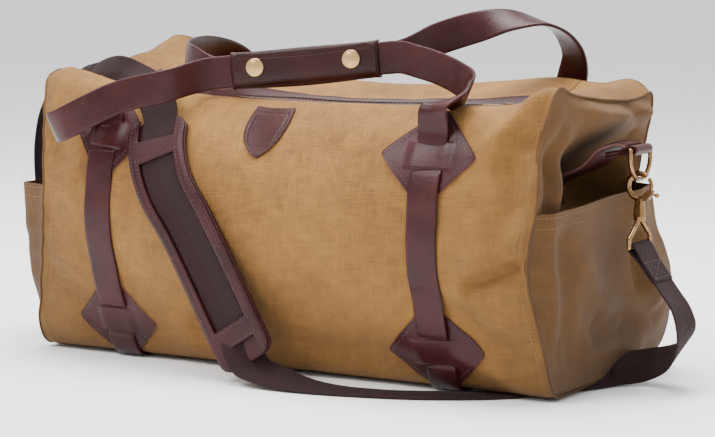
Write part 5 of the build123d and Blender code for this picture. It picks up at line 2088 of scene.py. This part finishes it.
    def folds(self) -> None:
        """Webbing doubled round the eye of each snap hook, and sewn."""
        for end in End:
            sign, side = end.value, end.name.lower()
            eye = np.array([sign * self.eye_x, 0.0, self.eye_z])
            path = round_bar(self.tip(sign), eye, 0.0021 + 0.0003 + self.thick / 2, self.thick / 2 + 0.0002)
            path = resample(path, 70)[0]
            sides = np.tile(np.array([0.0, 1.0, 0.0]), (len(path), 1))
            ribbon = Ribbon(side + "_webbing_fold", path, sides, self.webbing, self.thick, crown=0.0)
            piece = dress(ribbon.build(), self.finishes.webbing)
            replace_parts(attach(piece, side + "_ring"), side + "_strap_fold")
            way = unit(eye - self.tip(sign))
            up = np.array([-way[2], 0.0, way[0]]) * (1 if -way[2] * sign > 0 else -1)
            rows = []
            for face in (-1, 1):
                base = self.tip(sign) + up * face * (self.thick + 0.0004)
                corners = [(0.003, -1), (0.021, -1), (0.021, 1), (0.003, 1), (0.003, -1)]
                path = np.array([base + way * a + np.array([0.0, b * 0.0155, 0.0]) for a, b in corners])
                rows.append(np.concatenate([np.linspace(p, q, 10) for p, q in zip(path, path[1:])]))
                rows.append(np.linspace(path[0], path[2], 20))
                rows.append(np.linspace(path[1], path[3], 20))
            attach(Stitcher().sew(side + "_fold_stitches", rows, self.finishes.thread, Slot.WEBBING), side + "_ring")

    def pad(self) -> None:
        """Shoulder pad: a soft backing and a leather frame whose windows show the webbing."""
        points, sides = self.pad_stations()
        points[0] = points[0]
        line, turned = through(points, 20, sides)
        line, turned = resample(line, 170, turned)
        way = unit(np.gradient(line, axis=0))
        turned = unit(turned - way * np.sum(turned * way, axis=1, keepdims=True))
        out = np.cross(turned, way)
        out = out * np.sign(-out[:, 1:2])
        run = lengths(line)
        total = float(run[-1])
        end_round = 0.014
        near_end = np.minimum(run, total - run)
        short = np.clip(end_round - near_end, 0, None)
        side_half, window, inset, margin = self.pad_width / 2, 0.0205, 0.0035, 0.003
        half = side_half - end_round + np.sqrt(np.clip(end_round**2 - short**2, 1e-9, None))
        lanes = ((-side_half, -window, 8), (-window, window, 20), (window, side_half, 8))
        cross = np.unique(np.concatenate([np.linspace(*lane) for lane in lanes]))
        beyond = (np.abs(cross[:, None]) - window) / (side_half - window)
        wide = np.sign(cross[:, None]) * (window + beyond * (half[None] - window))
        spread = np.where(np.abs(cross[:, None]) > window, wide, cross[:, None])
        spread = np.clip(spread, -half[None], half[None])
        base = line[None] + turned[None] * spread[..., None]
        ways = np.tile(out[None], (len(cross), 1, 1))
        rim = smooth(half[None] - np.abs(spread), 0.0, 0.004)
        uv = np.stack(np.broadcast_arrays(cross[:, None], run[None]), axis=-1)
        keep = np.ones((len(cross) - 1, len(run) - 1), bool)
        middle_u = (cross[:-1] + cross[1:]) / 2
        middle_v = (run[:-1] + run[1:]) / 2
        inside = np.abs(middle_u) < window
        windows = ((-0.010, 0.023), (0.043, total - 0.041), (total - 0.020, total + 0.010))
        for low, high in windows:
            keep[np.ix_(inside, (middle_v > low) & (middle_v < high))] = False
        frame_points = base + ways * (0.0030 + 0.0009 * rim)[..., None]
        front = cut_sheet("pad_frame", frame_points, ways, 0.0019, keep, uv)
        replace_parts(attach(dress(front, self.finishes.pad), "bag"), "shoulder_pad")
        back_points = base + ways * (-0.0006 - 0.0002 * (1 - rim))[..., None]
        whole = np.ones_like(keep)
        puffy = cut_sheet("pad_backing", back_points, ways, 0.0032, whole, uv)
        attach(dress(puffy, self.finishes.pad), "bag")
        rows = []
        level = 0.0040

        def at(u: float, v: Array) -> Array:
            """Line on the frame at a place across it."""
            spot, side, face = (read(v, run, values) for values in (line, turned, out))
            width = np.interp(v, run, half) - inset
            reach = np.clip(np.full(len(v), u), -width, width)
            return spot + side * reach[:, None] + face * level

        v = np.linspace(0.004, total - 0.004, 120)
        rows += [at(-side_half + inset, v), at(side_half - inset, v)]
        beside = window + margin
        for low, high in windows:
            v = np.linspace(max(low - margin, 0.005), min(high + margin, total - 0.005), 80)
            rows += [at(-beside, v), at(beside, v)]
            for edge in (low - margin, high + margin):
                if 0.0 < edge < total:
                    places = np.linspace(-beside, beside, 14)
                    rows.append(np.concatenate([at(u, np.array([edge])) for u in places]))
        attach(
            Stitcher(pitch=0.0040, length=0.0028, radius=0.0004).sew(
                "pad_stitches", rows, self.finishes.thread, Slot.TRIM
            ),
            "bag",
        )

    def build(self) -> None:
        """Build the whole shoulder strap."""
        self.free_runs()
        self.folds()
        self.pad()
        log.info("shoulder strap")


class Metal:
    """Brass parts that come with the frame, given their finish."""

    FITTINGS = ("d_ring", "swivel_eye", "hook", "hook_gate", "gate_pin")

    def __init__(self, finishes: Finishes) -> None:
        """Keep the materials at hand."""
        self.finishes = finishes

    def coat(self, node: str, material: bpy.types.Material) -> None:
        """Give one part of the frame a material."""
        mesh = bpy.data.objects[node].data
        mesh.materials.clear()
        mesh.materials.append(material)

    def build(self) -> None:
        """Coat every metal part."""
        for end in End:
            for part in self.FITTINGS:
                self.coat(f"{end.name.lower()}_{part}", self.finishes.fitting)
        for face in Face:
            self.coat(f"{face.name.lower()}_zip_teeth", self.finishes.zip)
        for node in ("zip_slider", "zip_pull", "snap_studs"):
            self.coat(node, self.finishes.zip)


# ---- the scene ---------------------------------------------------------------------
@dataclass
class Studio:
    """Pale floor, soft lights and the camera."""

    target: Point = (-0.002, 0.037, 0.139)
    azimuth: float = 32.45
    elevation: float = 6.43
    distance: float = 2.519
    lens: float = 123.8

    def floor(self) -> None:
        """Plain pale floor."""
        corners = np.array([(x, y, -0.0005) for x, y in ((-30, -30), (30, -30), (30, 30), (-30, 30))])
        mesh = make_mesh("floor", corners, [(0, 1, 2, 3)])
        floor = make_object("floor", mesh)
        g = Graph("studio_floor")
        floor.data.materials.append(g.finish((0.93, 0.93, 0.93), 0.75, Specular_IOR_Level=0.2))

    def light(self, name: str, place: Point, size: float, power: float, colour: Colour = (1, 1, 1)) -> None:
        """Square soft light aimed at the bag."""
        data = bpy.data.lights.new(name, "AREA")
        data.shape, data.size, data.energy, data.color = "SQUARE", size, power, colour
        lamp = bpy.data.objects.new(name, data)
        bpy.context.scene.collection.objects.link(lamp)
        lamp.location = place
        aim = Vector(self.target) - Vector(place)
        lamp.rotation_euler = aim.to_track_quat("-Z", "Y").to_euler()

    def world(self, strength: float) -> None:
        """Even white surroundings."""
        world = bpy.data.worlds.new("studio")
        bpy.context.scene.world = world
        world.use_nodes = True
        back = world.node_tree.nodes["Background"]
        back.inputs["Color"].default_value = (1.0, 1.0, 1.0, 1.0)
        back.inputs["Strength"].default_value = strength

    def camera(self) -> None:
        """Camera at the bag's front right."""
        az, el = math.radians(self.azimuth), math.radians(self.elevation)
        way = Vector((math.sin(az) * math.cos(el), -math.cos(az) * math.cos(el), math.sin(el)))
        data = bpy.data.cameras.new("camera")
        data.lens, data.sensor_width, data.clip_end = self.lens, 36.0, 100.0
        camera = bpy.data.objects.new("camera", data)
        bpy.context.scene.collection.objects.link(camera)
        camera.location = Vector(self.target) + way * self.distance
        camera.rotation_euler = (-way).to_track_quat("-Z", "Y").to_euler()
        bpy.context.scene.camera = camera

    def build(self) -> None:
        """Set up the whole studio."""
        self.floor()
        self.world(1.25)
        self.light("key", (-0.9, -2.2, 2.7), 1.3, 95.0)
        self.light("top", (-0.1, 0.2, 2.4), 1.5, 125.0)
        self.light("rim", (2.4, 1.9, 1.5), 1.4, 14.0)
        self.camera()


def main() -> None:
    """Build the bag and its scene."""
    logging.basicConfig(level=logging.INFO, format="%(name)s: %(message)s")
    finishes = Finishes()
    form = BagForm()
    shell = Shell(form, finishes)
    shell.build()
    Trim(shell, finishes).build()
    grip = Grip(finishes)
    grip.build()
    Handles(grip, shell.sheets, finishes).build()
    Zip(shell, finishes).build()
    for end in End:
        EndFitting(shell, finishes, end).build()
    ShoulderStrap(shell, finishes).build()
    Metal(finishes).build()
    Studio().build()
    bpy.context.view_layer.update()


if __name__ == "__main__":
    main()
